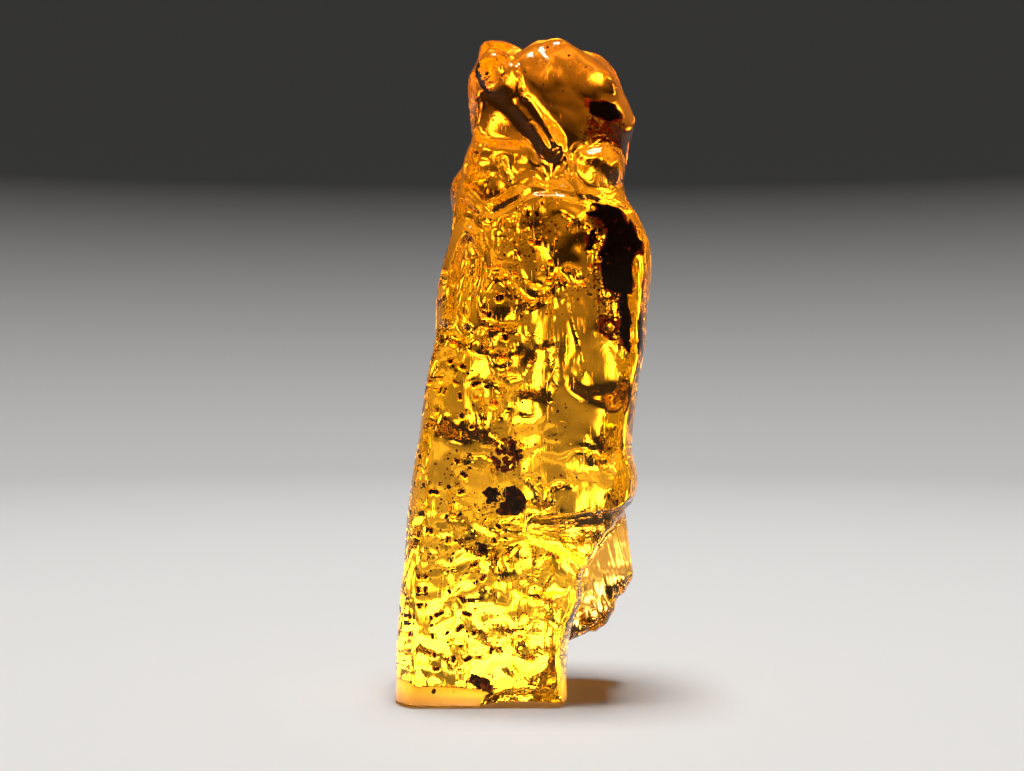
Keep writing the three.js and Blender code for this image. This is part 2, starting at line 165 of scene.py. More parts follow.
# Ridges in arcs on the back: height, half width, centre x and z, radius, and where each starts
# and ends, in degrees.
BACK_ARCS = [
    (0.5, 0.4, 6.4, 61.4, 1.6, 20, 200),
    (0.5, 0.35, -3.5, 49.2, 1, 0, 360),
    (0.4, 0.35, -1.7, 28, 3.9, -110, 60),
    (0.4, 0.35, -1.7, 28, 4.8, -110, 50),
    (0.5, 0.6, 0.1, 4.2, 2.7, 0, 360),
    (0.5, 0.4, -4.3, 7.8, 1.6, 0, 360),
    (0.5, 0.5, 1.2, 10.8, 2.8, -10, 190),
    (0.4, 0.4, 0.2, 22, 4.4, 60, 230),
    (0.4, 0.4, 8.2, 33, 2.4, 30, 230),
    (0.4, 0.4, 5.4, 27.8, 3, 60, 200),
]
# Slanting faces on the back: the top and the foot (x, z) of each one's left edge, its width, and
# how steeply it goes in to the right and upwards.
BACK_FACES = [
    ((1.6, 51), (0.6, 44.4), 1.9, 0.20, 0.24),
    ((0.4, 48.8), (-0.9, 44.2), 1, 0.20, 0.24),
    ((2.2, 58), (2.4, 51.6), 2, -0.36, 0),
]
# Ridges on the front, left of the window and on the head, in the same way as the back's.
FRONT_RIDGES = [
    (1, 0.85, [(-11.4, 55), (-11.2, 58.8), (-10.6, 62.8), (-9.6, 66), (-8.6, 67.6),
                  (-7.4, 66.6), (-6.9, 63.8), (-7.2, 61), (-8.2, 57.6), (-8, 54.4)]),
    (0.35, 0.6, [(-6.4, 68.8), (-5.6, 66.2), (-4.9, 62.8)]),
    (0.30, 0.5, [(-8.6, 72.6), (-6.8, 70.6), (-5.4, 69)]),
    (-0.40, 0.45, [(-4.4, 69.9), (-1.8, 71.2), (1, 72.8), (3.7, 72.9), (6.4, 72.1), (9.2, 71.4),
                   (11.9, 71.1), (14.6, 70.6)]),
    (0.30, 0.5, [(-1.6, 85.4), (1.4, 81.6), (3.2, 78.6)]),
    (0.30, 0.5, [(0.4, 86.2), (3, 82.2), (4.6, 79.4)]),
    (0.30, 0.5, [(6, 78), (6.4, 75), (8, 72.6), (10.4, 72.4)]),
    (0.40, 0.45, [(-1.4, 91), (-0.9, 88.8), (-0.3, 86.4)]),
    (0.40, 0.5, [(-3.5, 77.6), (-2.9, 76), (-2.2, 74.8)]),
]
FACE_START = (-0.1, 0.2)  # where, across its left edge, a slanting face sets in
FACE_ROUND = 0.3  # how soft its other edges are
LOBE_FOLDS = (8.4, 30, 0.09, 1.9, 0.22)  # right of x, below z, their depth, spacing and slant
LOBE_FADE = (1.5, 3)  # how far they take, in x and in z, to reach their full depth

# The noise between them. Each row has its depth everywhere, its further depth where the back is
# busy, its size, and its seed last; before the seed is a line's half width or a bowl's reach.
WINDINGS = ((0.02, 0.26, 6.2, 0.55, 3), (0, -0.22, 5, 0.45, 7))
BOWLS = ((0.04, 0.26, 4.6, 0.42, 21), (0, -0.18, 3.6, 0.4, 22), (0, 0.05, 2.1, 0.42, 23))
STIRRED = (0.06, 0.7, 6, 1.6, 4)  # depth, stretch, size, turns and seed
ROUGH = (0.03, 0.08, 0.6, 2.2, 5)  # depth everywhere and further depth behind, stretch, size, seed
GRAIN = (0.012, 0.9, 8)  # depth, size and seed
BENDS = ((1.5, 5, 11), (2, 6, 12))  # how far the lines wander in x and in z, size and seed
WINDING_STRETCH = 0.8  # less than 1 draws the winding lines out upwards
BACK_FADE = (-8, 3)  # the depths in the lump between which the back's relief sets in
FRONT_FADE = (1, 6)  # the same for the front's, counted towards the window
FACING_STEP = 0.3
FACING_FADE = (0.35, 0.85)  # how squarely the skin must face the window to have full relief
FLANK_SHARE = 0.25  # the share of it left on the flanks
FOOT_FADE = (-36, -22)  # the heights, counted down, between which the foot gets busier
FOOT_SHARE = 0.7
CALM_FADE = (-1.9, -0.4)  # squared distances from a calm place's middle, counted down

# Where the back is smoother: centre x and z, reach in x and z, and by what share.
CALM = [
    (7.6, 50, 2.6, 13, 0.9),  # the smooth dark face right of the middle
    (3.6, 87, 7, 7, 0.9),  # the head
    (-12.6, 42, 3.2, 14, 0.85),  # the clear strip along the left
    (8, 30.5, 4, 3, 0.6),  # above the cleft
    (-8.6, 60.5, 5.4, 9, 0.85),  # behind the arch
    (11.6, 44.5, 3.6, 6.5, 0.8),  # the bright place at the right
    (1.4, 47.8, 1.8, 3.6, 0.9),  # behind the two lower slanting faces
    (3.2, 54.8, 1.2, 3.4, 0.8),  # behind the upper one
    (13.5, 20, 4.6, 10, 1),  # the lobe at the foot
]

# -------- what is sealed in it

# Sheets of bark on the flow surface: thickness, outline (x, z), and the outline of the broken
# lace of crumbs that frays out of it.
SHEETS = {
    "bark_patch": (
        1.1,
        [(8.7, 70.2), (10.2, 70.4), (11.4, 70.5), (12.9, 70.1), (13.5, 68.8), (13.9, 68),
         (14.4, 69), (15, 67.9), (15.1, 66), (15.7, 65.6), (15.7, 64.5), (15, 62.4),
         (15.3, 60.5), (15.1, 58.6), (14.6, 58.4), (14.5, 56.8), (15, 54.6), (14.8, 51.8),
         (15, 50.3), (14.6, 49.9), (13.8, 51.2), (13.2, 53.4), (13.6, 55.6), (13, 57.2),
         (13.4, 58.6), (10.9, 59.1), (10.8, 60.8), (10.2, 64.1), (11.3, 66), (11.5, 67.6),
         (10.4, 69.2), (8.8, 69.4)],
        [(9, 69.8), (11.8, 69.2), (11.6, 65), (12, 60), (13.6, 58.6), (14.6, 52),
         (14.2, 50), (13, 51.2), (11, 52.6), (10.4, 55), (10.2, 58.4), (9.6, 61),
         (9.8, 64.2), (10.2, 66.6)],
    ),
    "bark_sliver": (
        0.8,
        [(9.2, 67.8), (9.9, 67.5), (10, 66.2), (9.2, 64.4), (8.5, 64.7), (8.8, 66.6)],
        [(8.5, 68), (10.1, 67.8), (10.2, 65.6), (9, 64), (8.3, 64.6)],
    ),
    "head_debris": (
        1.4,
        [(9, 86.4), (10.6, 86.5), (12.4, 85.9), (13.7, 84.5), (13.3, 83.6), (11.6, 83.4),
         (10.2, 83.9), (8.9, 84.6)],
        [(8.9, 85.6), (13.5, 84.6), (14.2, 82.6), (14.2, 80.4), (12.6, 79.2), (9.8, 79.8),
         (8.8, 82.2)],
    ),
    "head_crust": (
        0.9,
        [(-5.7, 92.7), (-5.2, 92.3), (-5.5, 91.2), (-5.2, 89.6), (-4, 88.2), (-4.5, 87.6),
         (-5.7, 89.2), (-6.3, 90.6), (-6.3, 91.9)],
        [(-5.6, 92.4), (-5.3, 92.2), (-5.4, 91.2), (-5.1, 89.8), (-4.4, 88.2), (-5.8, 89.6)],
    ),
}
SHEET_WAVE = (0.18, 2.4, 31)  # how deep a sheet's waves are, their size and their seed
SHEET_INSET = (0.04, 0.1)  # how far inside its outline and its thickness it lies
SHEET_ROUND = 0.15  # how soft its edges are
SHEET_MARGIN = (0.5, 2.2)  # the room round it in which its surface is sought: x and z, and y
RAGGED = 0.24  # how far the outline of a sheet is frayed
# How its outline frays, its faces crackle and a pellet is knobbly: in each row the depth, the
# stretch (less than 1 draws it out upwards), the size and the seed.
FRAY = ((1, 1, 1, 32), (0.7, 1, 0.42, 33))
CRACKLE = ((0.1, 0.6, 0.7, 34), (0.05, 1, 0.35, 35))
KNOBS = ((0.05, 1, 0.45, 51), (0.06, 1, 0.9, 52))
RIM_REACH = 0.25  # how far in from its edge a sheet is red rather than black
LACE_CELL = 0.95  # the size of the holes in the lace
LACE_THREAD = 0.09  # half the width of what is left between them
LACE_THICKNESS = 0.2  # half the lace's thickness, as a share of the sheet's
LACE_STRETCH = 0.5  # less than 1 draws its holes out from front to back
LACE_UNEVEN = (0.9, 1.6, 37)  # by what share its threads swell and thin, the size and the seed
LACE_SEED = 36
LACE_FRAY = 1.6  # its outline is this many times as frayed as the sheet's,
RING_FRAY = 0.8  # the ring this many times,
LACE_CRACKLE = 0.3  # and its faces have this share of the crackle
# Crumbs to a square millimetre of each sheet's lace, and the share of them that are dark.
LACE_CRUMBS = {
    "bark_patch": (17, 0.5),
    "bark_sliver": (17, 0.5),
    "head_debris": (7, 0.1),
    "head_crust": (17, 0.5),
}
HEAD_BEAD = (8.8, 86.1, 0.75)  # a red bead beside the debris in the head: x, z, radius
PATCH_RING = (11.7, 53.7, 1.05, 0.34)  # a ring of crumbs at its foot: x, z, radius, half width

# Lumps of debris: centre (x, z), size (x, y, z), lean to the right in degrees, roughness.
LUMPS = {
    "dark_fragment": ((-2.1, 28.6), (4.6, 2, 3.8), -20, 0.30),
    "ragged_fragment": ((-5.6, 29.2), (2.2, 1.4, 2.8), 25, 0.42),
    "grain_cluster": ((-2.7, 35.4), (3.6, 1.6, 4.2), 30, 0.45),
    "bark_chip": ((-6.6, 21.6), (1.4, 1.2, 2.2), -38, 0.16),
    "base_lump": ((-6.6, 2.4), (1.9, 1.6, 3.9), -62, 0.14),
}
LUMP_FILL = 0.93  # how much of its size a lump has before it is roughened
LUMP_MARGIN = (0.7, 0.6)  # the room round it in which its surface is sought: x and z, and y
LUMP_CELLS = (0.9, 41)  # the size and seed of its grains,
CELL_REACH = 0.6  # how wide each is, as a share of that size,
CELL_HEIGHT = 1.2  # and how high
LUMP_COARSE = (1.5, 42)  # the sizes and seeds of its coarse and fine noise
LUMP_FINE = (0.5, 43)
FINE_SHARE = 0.35
# A lump with an outline: how far in its faces lie, how soft its edges are, its share of the
# noise, and the depth, size and seed of its splinters.
FLAT_LUMP = (0.2, 0.8, 0.3, 0.12, 0.5, 45)
# The cluster: how far it is swollen, its grains' spacing and radius, its share of the coarse
# noise, and how softly a grain ends.
CLUSTER = (0.3, 0.9, 0.4, 0.3, 0.15)
# The lump at the base: its cross lines' height and spacing, and its pits' depth, size and seed.
CROSS_LINES = (0.06, 0.8, 0.3, 0.4, 44)
# The lumps that have an outline of their own (x, z).
LUMP_OUTLINES = {
    "dark_fragment": [
        (-2.9, 30.7), (-1.6, 31), (-0.3, 29.9), (0.2, 28.8), (-0.1, 27.6), (-1.6, 26.8),
        (-3.8, 26.6), (-4.6, 27.3), (-4.1, 28.3), (-3.2, 28.9), (-3.6, 29.9),
    ],
    "ragged_fragment": [
        (-6.7, 30), (-5.4, 30.9), (-4.2, 30.7), (-4.1, 29.9), (-4.6, 28.7), (-5.6, 28.2),
        (-6.4, 28.4), (-5.8, 29.2),
    ],
}

# Frass pellets: x, z, length, width and lean to the right in degrees.
PELLETS = [
    (1.6, 65.8, 1.6, 1, 80), (-3.7, 58, 1.7, 1.4, 60), (-5.2, 55.6, 1.3, 1, 20),
    (-2.9, 52.3, 1.4, 1, -30), (-3.5, 49.2, 1.4, 1, 40), (-8.8, 47.9, 1, 0.9, 10),
    (-7.1, 45.5, 1.6, 0.9, 65), (-9.4, 43.7, 1.2, 0.7, 0), (-9.2, 40.9, 1.2, 1, -10),
    (-7.8, 39.3, 0.9, 0.7, 70), (-10, 34.3, 1.1, 0.7, -50), (-9, 32.4, 1.3, 0.9, -35),
    (-12.9, 29.7, 1.2, 0.8, -55), (-9.4, 29.9, 1.2, 0.9, 60), (-10.7, 26.2, 1.3, 0.8, -22),
    (-4.1, 24.8, 1.2, 0.7, -45), (-13.7, 24, 1.2, 0.7, -5), (-11.3, 22.7, 1.3, 0.8, 10),
    (-4.7, 22.6, 1.2, 0.8, 15), (-7.7, 18.9, 1.3, 0.7, 75), (-6.2, 17.3, 1.3, 0.8, 35),
    (-14.4, 17.3, 1, 0.7, 30), (-14.5, 15.5, 1.1, 0.7, 10), (-9.1, 14.1, 1.5, 0.9, -38),
    (-14.5, 13.1, 1, 0.6, 25), (-12.5, 12, 1.7, 0.8, 65), (-8.5, 12.1, 1.6, 0.8, -70),
    (-9.6, 10, 1.5, 0.9, 48), (-7.5, 9.4, 1.1, 0.9, 0), (-13.5, 8.8, 1, 0.7, 5),
    (-13.2, 6.1, 1, 0.8, -20), (-10.5, 5.6, 1.3, 0.8, -5), (-8.4, 5.7, 1.6, 0.8, 65),
    (-5, 6.9, 1.2, 0.8, 18), (-13, 4.1, 1.2, 0.8, 85),
]
LEAST_STRAIGHT = 0.15  # a pellet is straight over at least this length
PELLET_MARGIN = (0.35, 0.3)  # the room round it in which its surface is sought: x and z, and y
# Pellets too small to be nodes, in the same way.
SMALL_PELLETS = [
    (-8.6, 34.1, 0.9, 0.5, 70), (-11.2, 30.6, 0.8, 0.5, -30), (-11.5, 26.2, 0.8, 0.5, 10),
    (-9.6, 26.5, 0.9, 0.5, 60), (-3, 23, 0.8, 0.5, -40), (-7.2, 16.6, 0.9, 0.5, 20),
    (-9.2, 10.4, 0.8, 0.5, 70), (0.3, 70, 0.9, 0.6, 0), (1.6, 70, 1, 0.6, -20),
    (1.8, 57.1, 0.8, 0.6, 70), (3.2, 61.2, 0.7, 0.5, -40), (-6.8, 46.8, 0.8, 0.6, 30),
    (-5.6, 45.1, 0.8, 0.6, -60), (-8.5, 37.2, 0.8, 0.6, 10), (-1.3, 35.7, 1, 0.8, 40),
    (-14.7, 24.1, 0.8, 0.6, 20), (-11, 19.8, 0.9, 0.5, -20), (-15.7, 16.6, 0.8, 0.5, 15),
    (-14.4, 14.9, 0.7, 0.5, 60), (-13.7, 11.5, 0.8, 0.5, -10), (-11.3, 9.4, 0.9, 0.6, 40),
    (-11, 15.3, 0.8, 0.6, -30), (-13.3, 0.9, 0.8, 0.6, 20), (-16, 7, 0.8, 0.4, 10),
]

# Where crumbs lie: centre (x, z), spread, how many, and how dark, from 0 to 1.
CRUMB_DRIFTS = [
    (2, 68, 2.6, 150, 0.15), (7.6, 68, 1.5, 110, 0.2), (8.8, 60, 1.3, 90, 0.25),
    (-1.6, 62.5, 1.6, 90, 0.3), (-3.5, 57, 1.8, 70, 0.5), (-2.6, 50.5, 1.5, 60, 0.5),
    (-8, 45, 1.8, 50, 0.5), (-6, 40, 1.8, 60, 0.4), (-1.6, 36, 1.8, 80, 0.4),
    (-9.8, 33, 1.3, 60, 0.6), (-11.4, 28.5, 1.6, 70, 0.6), (-5, 28, 1.4, 60, 0.6),
    (-9.8, 24, 2.2, 60, 0.6), (-13.5, 20, 1.6, 60, 0.5), (-8, 17.5, 2.4, 60, 0.6),
    (-13.8, 13, 1.5, 60, 0.6), (-9, 9.5, 2.4, 80, 0.7), (-12, 5, 2, 60, 0.7),
    (-1, 11, 1.6, 60, 0.2), (0.5, 20, 2.6, 60, 0.2), (10.4, 81.5, 1.4, 60, 0.5),
    (-4.6, 89.6, 0.7, 50, 0.4), (12, 80, 0.8, 30, 0.8), (-3, 60, 6, 180, 0.3),
    (-2, 42, 7, 220, 0.4), (-2, 25, 7, 220, 0.4), (-4, 10, 6, 200, 0.4),
    (4, 87, 5, 90, 0.3), (-4.1, 29.5, 0.6, 110, 0.8),
]
CRUMB_SIZE = (0.1, 0.34)  # half widths of the smallest and the largest crumb
CRUMB_SCATTER = 0.9  # how far off the flow surface a crumb may lie
LACE_SCATTER = 0.3  # the same for one in a lace
LACE_REACH = 0.1  # how far past the edge of a lace one may lie
CRUMB_COVER = 0.5  # how deep in the resin a crumb must lie
CRUMB_CORNERS = (0.5, 1.3)  # how far out its corners are, as shares of its size,
CRUMB_SIDES = (0.5, 1.2)  # and how much it is squeezed along each axis
CRUMB_SEED = 7
OCTAHEDRON = np.array([(1, 0, 0), (-1, 0, 0), (0, 1, 0), (0, -1, 0), (0, 0, 1), (0, 0, -1)], float)
OCTAHEDRON_FACES = [
    (0, 2, 4), (2, 1, 4), (1, 3, 4), (3, 0, 4), (2, 0, 5), (1, 2, 5), (3, 1, 5), (0, 3, 5),
]

# Where bubbles lie near the flow surface: centre (x, z), spread and how many; their radii; and
# a few large ones (x, y, z, radius).
BUBBLE_DRIFTS = [
    (3, 67, 3, 18), (-1.5, 60, 2.2, 8), (8.4, 61, 1.4, 8), (-3.4, 50, 2.4, 8),
    (-7, 44, 2.2, 6), (-11, 46, 2, 4), (-1.6, 36.5, 2.4, 6), (-8, 26, 3.4, 8),
    (0, 18, 4, 8), (-8, 9, 4, 8), (3, 84, 5, 5),
]
BUBBLE_RADII = (0.16, 0.52)
BUBBLE_SCATTER = 2.4  # how far off the flow surface a bubble may lie
BUBBLE_COVER = 0.6  # how much resin there must be between a bubble and the skin
BUBBLE_APART = 0.1  # the least gap between a bubble and another, or a pellet
DEBRIS_APART = 0.3  # the same between a bubble and a lump or a sheet
SHEET_REACH = 1.0  # how far off the flow surface a sheet may be
BUBBLE_SEED = 19
BIG_BUBBLES = [
    (-3.3, -6, 49.4, 0.75), (-2.2, -5.2, 47.4, 0.45), (-4.6, -4.4, 42.6, 0.8),
    (3.4, -3, 60.6, 0.6), (-8.9, -5.4, 51, 0.6), (0.6, -3.5, 5.6, 0.8), (-0.9, -6, 9, 0.5),
    (-0.6, -6, 36.8, 0.5), (-12.6, -7.5, 45.6, 0.5), (4.6, -4, 20, 0.5),
]
BALL_FACES = (7, 10)  # rings and sides of a bubble, and of one whose radius is past LARGE_BALL
LARGE_BALL_FACES = (10, 14)
LARGE_BALL = 0.42

# -------- the meshes

CELL = 0.395  # size of the resin's faces
RESIN_BOX = ((-21.5, -15.2, -1.2), (20.5, 15.6, 98.6))  # a box that holds all of it
SKIN_BAND = 1.6  # how near the skin a point must be for the relief to matter
RIM_ROUND = 0.5  # how soft the rim of the window is
FOOT_ROUND = 0.3  # how soft the edge of the base is
CUT_MARGIN = 0.01  # how far past a flat face the form goes before it is cut there
SHARP_ANGLE = math.radians(32)
BARK_CELL = 0.16  # face sizes of what is sealed in the resin
LUMP_CELL = 0.15
PELLET_CELL = 0.13
HALO = 0.09  # the film of air left round a pellet
HALO_CELL = 0.2
HALO_ROUGHNESS = 0.4  # as a share of the pellet's own
NOISE_GAIN = 1.7  # brings the noise to about -1 to 1

# -------- looks, in metres

# The resin's golden colour, darkened towards the head as painted shade for light from below that has
# crossed more resin there: a height as a share of the whole, and a colour.
RESIN_TINTS_WITH_PAINTED_SHADE = ((0.1, (1.0, 0.5, 0.17)), (0.5, (1.0, 0.41, 0.11)), (0.9, (1.0, 0.27, 0.05)))
RESIN_HEIGHT = 0.097
RESIN_IOR = 1.54
RESIN_ABSORB_COLOR = (0.955, 0.935, 0.25, 1)
RESIN_ABSORB_DENSITY = 140.0
RESIN_GLOSS = (0.28, 0.24, 0.18, 1)
POLISHED_TO = -0.01347  # the window is what lies in front of this
POLISHED_ROUGHNESS = 0.015
NATURAL_ROUGHNESS = (0.02, 0.07)
SAWN_TO = 0.00003  # the base, ground flat but not polished, is what lies below this
SAWN_ROUGHNESS = 0.9
LINE_CELLS = 420.0  # the fine flow lines in the skin: how slow the noise is that they follow,
LINE_TURNS = 34.0  # how many of them there are,
LINE_DEPTH = 0.000014  # how deep they are,
LINED_FROM = (-5, 4)  # the depths in the lump, in millimetres, between which they grow,
LINE_DRIFT = (-0.35, 0.45)  # and the noise between which they come in,
LINE_LEAST = 0.15  # from this share,
LINE_PATCH = (5, 61)  # in patches of this size and with this seed
SCRATCH_TURN = 0.5  # the fine scratches: how far they lean, in radians,
SCRATCH_STRETCH = 0.06  # how long they are drawn, less being longer,
SCRATCH_CELLS = 3200.0  # how close they lie,
SCRATCH_DEPTH = 0.000009  # and how deep they are

# Bark and frass: the noise from 0 to 1 at which the mottle starts and ends, each with its colour.
DEBRIS_LOOKS = {
    "bark": ((0.62, (0.004, 0.002, 0.002)), (1, (0.5, 0.11, 0.015))),
    "red_bark": ((0.48, (0.09, 0.018, 0.006)), (0.85, (0.55, 0.14, 0.03))),
    "charred": ((0.48, (0.006, 0.003, 0.002)), (0.85, (0.2, 0.045, 0.012))),
    "frass": ((0.48, (0.01, 0.004, 0.002)), (0.85, (0.09, 0.022, 0.008))),
    "tawny": ((0.48, (0.16, 0.045, 0.006)), (0.85, (0.55, 0.24, 0.03))),
}
RIM_LIGHTER = 0.34  # how far towards the lighter colour the rim of a sheet is
MOTTLE_SCALE = 900.0
DEBRIS_ROUGHNESS = 0.75
DEBRIS_GLOSS = 0.08
DEBRIS_BUMP = (0.6, 0.0002)  # strength and depth

# -------- the studio, in metres

SWEEP_RADIUS = 0.8
SWEEP_MIDDLE = 0.15
SWEEP_BEND = 0.3
SWEEP_HEIGHT = 1.3
SWEEP_SIDES = 96
SWEEP_STEPS = 16
FLOOR_DROP = 0.0003  # how far below the base the floor lies
FLOOR_COLOUR = (0.74, 0.73, 0.71)
# The wall's dark grey is painted shade, darkening the sweep upwards as if the light fell off with
# height.
WALL_PAINTED_SHADE = (0.035, 0.034, 0.033)
WALL_FROM = 0.16  # the height at which the sweep's painted shade has reached its darkest
WORLD_COLOUR = (0.95, 0.97, 1.0, 1)
WORLD_STRENGTH = 0.05
CLEAR_BOUNCES = 32  # enough for light to find its way through the lump
GLOSSY_BOUNCES = 16

# Light from below crosses more resin the higher it comes out, so the high lights are warmer.
NEUTRAL = (1.0, 1.0, 1.0)
WARM = (1.0, 0.84, 0.72)
AMBER = (1.0, 0.66, 0.45)
# Each light: name, place, target, size, power and colour.
OVERHEAD = ("overhead", (0.0, 0.0, 0.95), (0, 0, 0), (0.32, 0.32), 9.5, NEUTRAL)
# Soft glows that light the lump from behind and below.
GLOWS = (
    ("right_glow", (-0.08, 0.345, 0.04), (0, 0, 0.04), (0.18, 0.14), 1.3, NEUTRAL),
    ("left_glow", (0.075, 0.345, 0.085), (0, 0, 0.06), (0.1, 0.09), 0.5, WARM),
    ("low_glow", (0.0, 0.05, -0.00015), (0, 0.05, 1.0), (0.17, 0.15), 1.3, NEUTRAL),
    ("far_glow", (0.0, 0.24, -0.00015), (0, 0.24, 1.0), (0.5, 0.3), 0.45, NEUTRAL),
    ("under_glow", (-0.003, -0.002, -0.0001), (-0.003, -0.002, 1.0), (0.07, 0.06), 0.18, NEUTRAL),
)
GLOW_FALL = 6.0  # how steeply a glow fades from its middle
# The rings of strips: the height, thickness, power and colour of each, and how many degrees to
# either side of straight behind the lump are left dark.
GLINT_RINGS = (
    (0.032, 0.055, 0.28, NEUTRAL, 20),
    (0.11, 0.05, 0.25, WARM, 20),
    (0.25, 0.06, 0.38, AMBER, 0),
)
GLINT_RING = 0.36  # how far the strip lights stand from the lump
GLINT_SIDES = 12
GLINT_WIDTH = 0.13

CAMERA_AT = (-2.0, -241, 48.5)  # in millimetres
CAMERA_DIP = 0.764  # degrees below level
FOCAL_LENGTH = 1612  # in pixels of a picture that is PICTURE_WIDTH wide
PICTURE_WIDTH = 1024
SENSOR_WIDTH = 36

# -------- the plain form


def along(points, place):
    """The smooth curve through (place, value) points, held level past its two ends."""
    at, value = np.array(points, float).T
    slope = np.empty_like(value)
    slope[1:-1] = (value[2:] - value[:-2]) / (at[2:] - at[:-2])
    slope[0] = (value[1] - value[0]) / (at[1] - at[0])
    slope[-1] = (value[-1] - value[-2]) / (at[-1] - at[-2])
    place = np.clip(place, at[0], at[-1])
    i = np.clip(np.searchsorted(at, place, side="right") - 1, 0, len(at) - 2)
    span = at[i + 1] - at[i]
    t = (place - at[i]) / span
    return (
        value[i] * (1 + 2 * t) * (1 - t) ** 2
        + value[i + 1] * t * t * (3 - 2 * t)
        + span * t * (1 - t) * (slope[i] * (1 - t) - slope[i + 1] * t)
    )


def smooth_min(a, b, width):
    """The lesser of two distances, with a fillet of the given width where they are alike."""
    overlap = np.maximum(width - np.abs(a - b), 0) / width
    return np.minimum(a, b) - overlap * overlap * width * 0.25


def smooth_max(a, b, width):
    """The greater of two distances, with the same fillet."""
    return -smooth_min(-a, -b, width)


def smooth_step(value, low, high):
    """0 up to low, 1 from high on, and a smooth rise between them."""
    t = np.clip((value - low) / (high - low), 0, 1)
    return t * t * (3 - 2 * t)


def run_distance(x, y, z, run):
    """The distance to the skin of a tapered run of resin, less than zero inside it."""
    (x0, y0, z0, r0), (x1, y1, z1, r1) = run
    dx, dy, dz = x1 - x0, y1 - y0, z1 - z0
    share = ((x - x0) * dx + (y - y0) * dy + (z - z0) * dz) / (dx * dx + dy * dy + dz * dz)
    t = np.clip(share, 0, 1)
    across = (x - x0 - t * dx) ** 2 + (y - y0 - t * dy) ** 2 + (z - z0 - t * dz) ** 2
    return np.sqrt(across) - r0 - t * (r1 - r0)


def column_distance(x, y, z):
    """The plain column: a boxy oval section between the flanks, closed by the crown."""
    left, right = along(LEFT_EDGE, z), along(RIGHT_EDGE, z)
    front, back = along(FRONT_EDGE, z), along(BACK_EDGE, z)
    half_width, half_depth = (right - left) / 2, (back - front) / 2
    u = np.abs(x - (left + right) / 2) / half_width
    v = np.abs(y - (front + back) / 2) / half_depth
    across = (u**BOXINESS + v**BOXINESS) ** (1 / BOXINESS) - 1
    flanks = across * np.minimum(half_width, half_depth)
    fall = CROWN_FALL * (y - CROWN_RIDGE) ** 2
    crown = (z - along(CROWN_EDGE, x - CROWN_SKEW * y) + fall) * CROWN_TIGHTNESS
    body = smooth_max(flanks, crown, CROWN_ROUND)
    left_of_window = (along(SHOULDER_EDGE, z) - x) * math.sin(SHOULDER_SLOPE)
    before_window = (WINDOW_Y - y) * math.cos(SHOULDER_SLOPE)
    return smooth_max(body, left_of_window + before_window, SHOULDER_ROUND)


def undulation(x, y, z):
    """The skin's slow undulation, stronger on the back than on the front."""
    front, back, start, end = UNDULATION.values()
    bent = x / SWAY["x"] + SWAY["bend"] * np.sin(z / SWAY["bend_length"])
    sway = np.sin(bent) * np.sin(z / SWAY["z"] + y / SWAY["y"])
    ripple = np.sin(y / RIPPLE["y"] + z / RIPPLE["z"] - x / RIPPLE["x"])
    return (front + (back - front) * smooth_step(y, start, end)) * (sway + RIPPLE["share"] * ripple)


def plain_distance(x, y, z):
    """The distance to the natural skin as the solid model has it, less than zero inside."""
    distance = column_distance(x, y, z) + undulation(x, y, z)
    for run in RUNS:
        distance = smooth_min(distance, run_distance(x, y, z, run), BLEND)
    for run in HOLLOWS:
        distance = smooth_max(distance, -run_distance(x, y, z, run), BLEND)
    return distance


def flow_depth(x, z):
    """The depth of the buried flow surface, on which the debris lies."""
    body, head = SWELL_LEAN
    lean = body + (head - body) * smooth_step(z, *SWELL_LEAN_FADE)
    return SWELL_DEPTH + SWELL_HEIGHT * np.sin((z - SWELL_LEVEL) / SWELL_LENGTH) - lean * x


# -------- noise


def hashed(ix, iy, iz, seed):
    """A scrambled whole number for each point of a lattice."""
    h = np.uint32((seed * 0x9E3779B9) & 0xFFFFFFFF)
    for place, factor in ((ix, 0x8DA6B343), (iy, 0xD8163841), (iz, 0xCB1AB31F)):
        h = h ^ place.astype(np.int64).astype(np.uint32) * np.uint32(factor)
    h ^= h >> np.uint32(13)
    h *= np.uint32(0x85EBCA6B)
    h ^= h >> np.uint32(16)
    return h


def three_shares(h):
    """Three numbers from 0 to 1 out of a scrambled whole number."""
    return [((h >> np.uint32(shift)) & np.uint32(1023)) / 1023.0 for shift in (0, 10, 20)]


def soft_noise(x, y, z, size, seed):
    """Smooth noise, about -1 to 1, with features of the given size."""
    x, y, z = x / size, y / size, z / size
    ix, iy, iz = np.floor(x), np.floor(y), np.floor(z)
    fx, fy, fz = x - ix, y - iy, z - iz
    wx, wy, wz = (f * f * f * (f * (f * 6 - 15) + 10) for f in (fx, fy, fz))
    total = 0.0
    for dx, dy, dz in product((0, 1), repeat=3):
        gx, gy, gz = (2 * s - 1 for s in three_shares(hashed(ix + dx, iy + dy, iz + dz, seed)))
        weight = (wx if dx else 1 - wx) * (wy if dy else 1 - wy) * (wz if dz else 1 - wz)
        total = total + weight * (gx * (fx - dx) + gy * (fy - dy) + gz * (fz - dz))
    return total * NOISE_GAIN


def cell_noise(x, y, z, size, seed):
    """The distances to the nearest and next nearest of scattered points, in units of size."""
    x, y, z = x / size, y / size, z / size
    ix, iy, iz = np.floor(x), np.floor(y), np.floor(z)
    first = np.full(x.shape, 9.0)
    second = np.full(x.shape, 9.0)
    for dx, dy, dz in product((-1, 0, 1), repeat=3):
        sx, sy, sz = three_shares(hashed(ix + dx, iy + dy, iz + dz, seed))
        gap = (ix + dx + sx - x) ** 2 + (iy + dy + sy - y) ** 2 + (iz + dz + sz - z) ** 2
        second = np.minimum(second, np.maximum(first, gap))
        first = np.minimum(first, gap)
    return np.sqrt(first), np.sqrt(second)


def ridge(distance, width):
    """1 on a line, and less away from it, at the given distances and half width."""
    return np.exp(-((distance / width) ** 2))


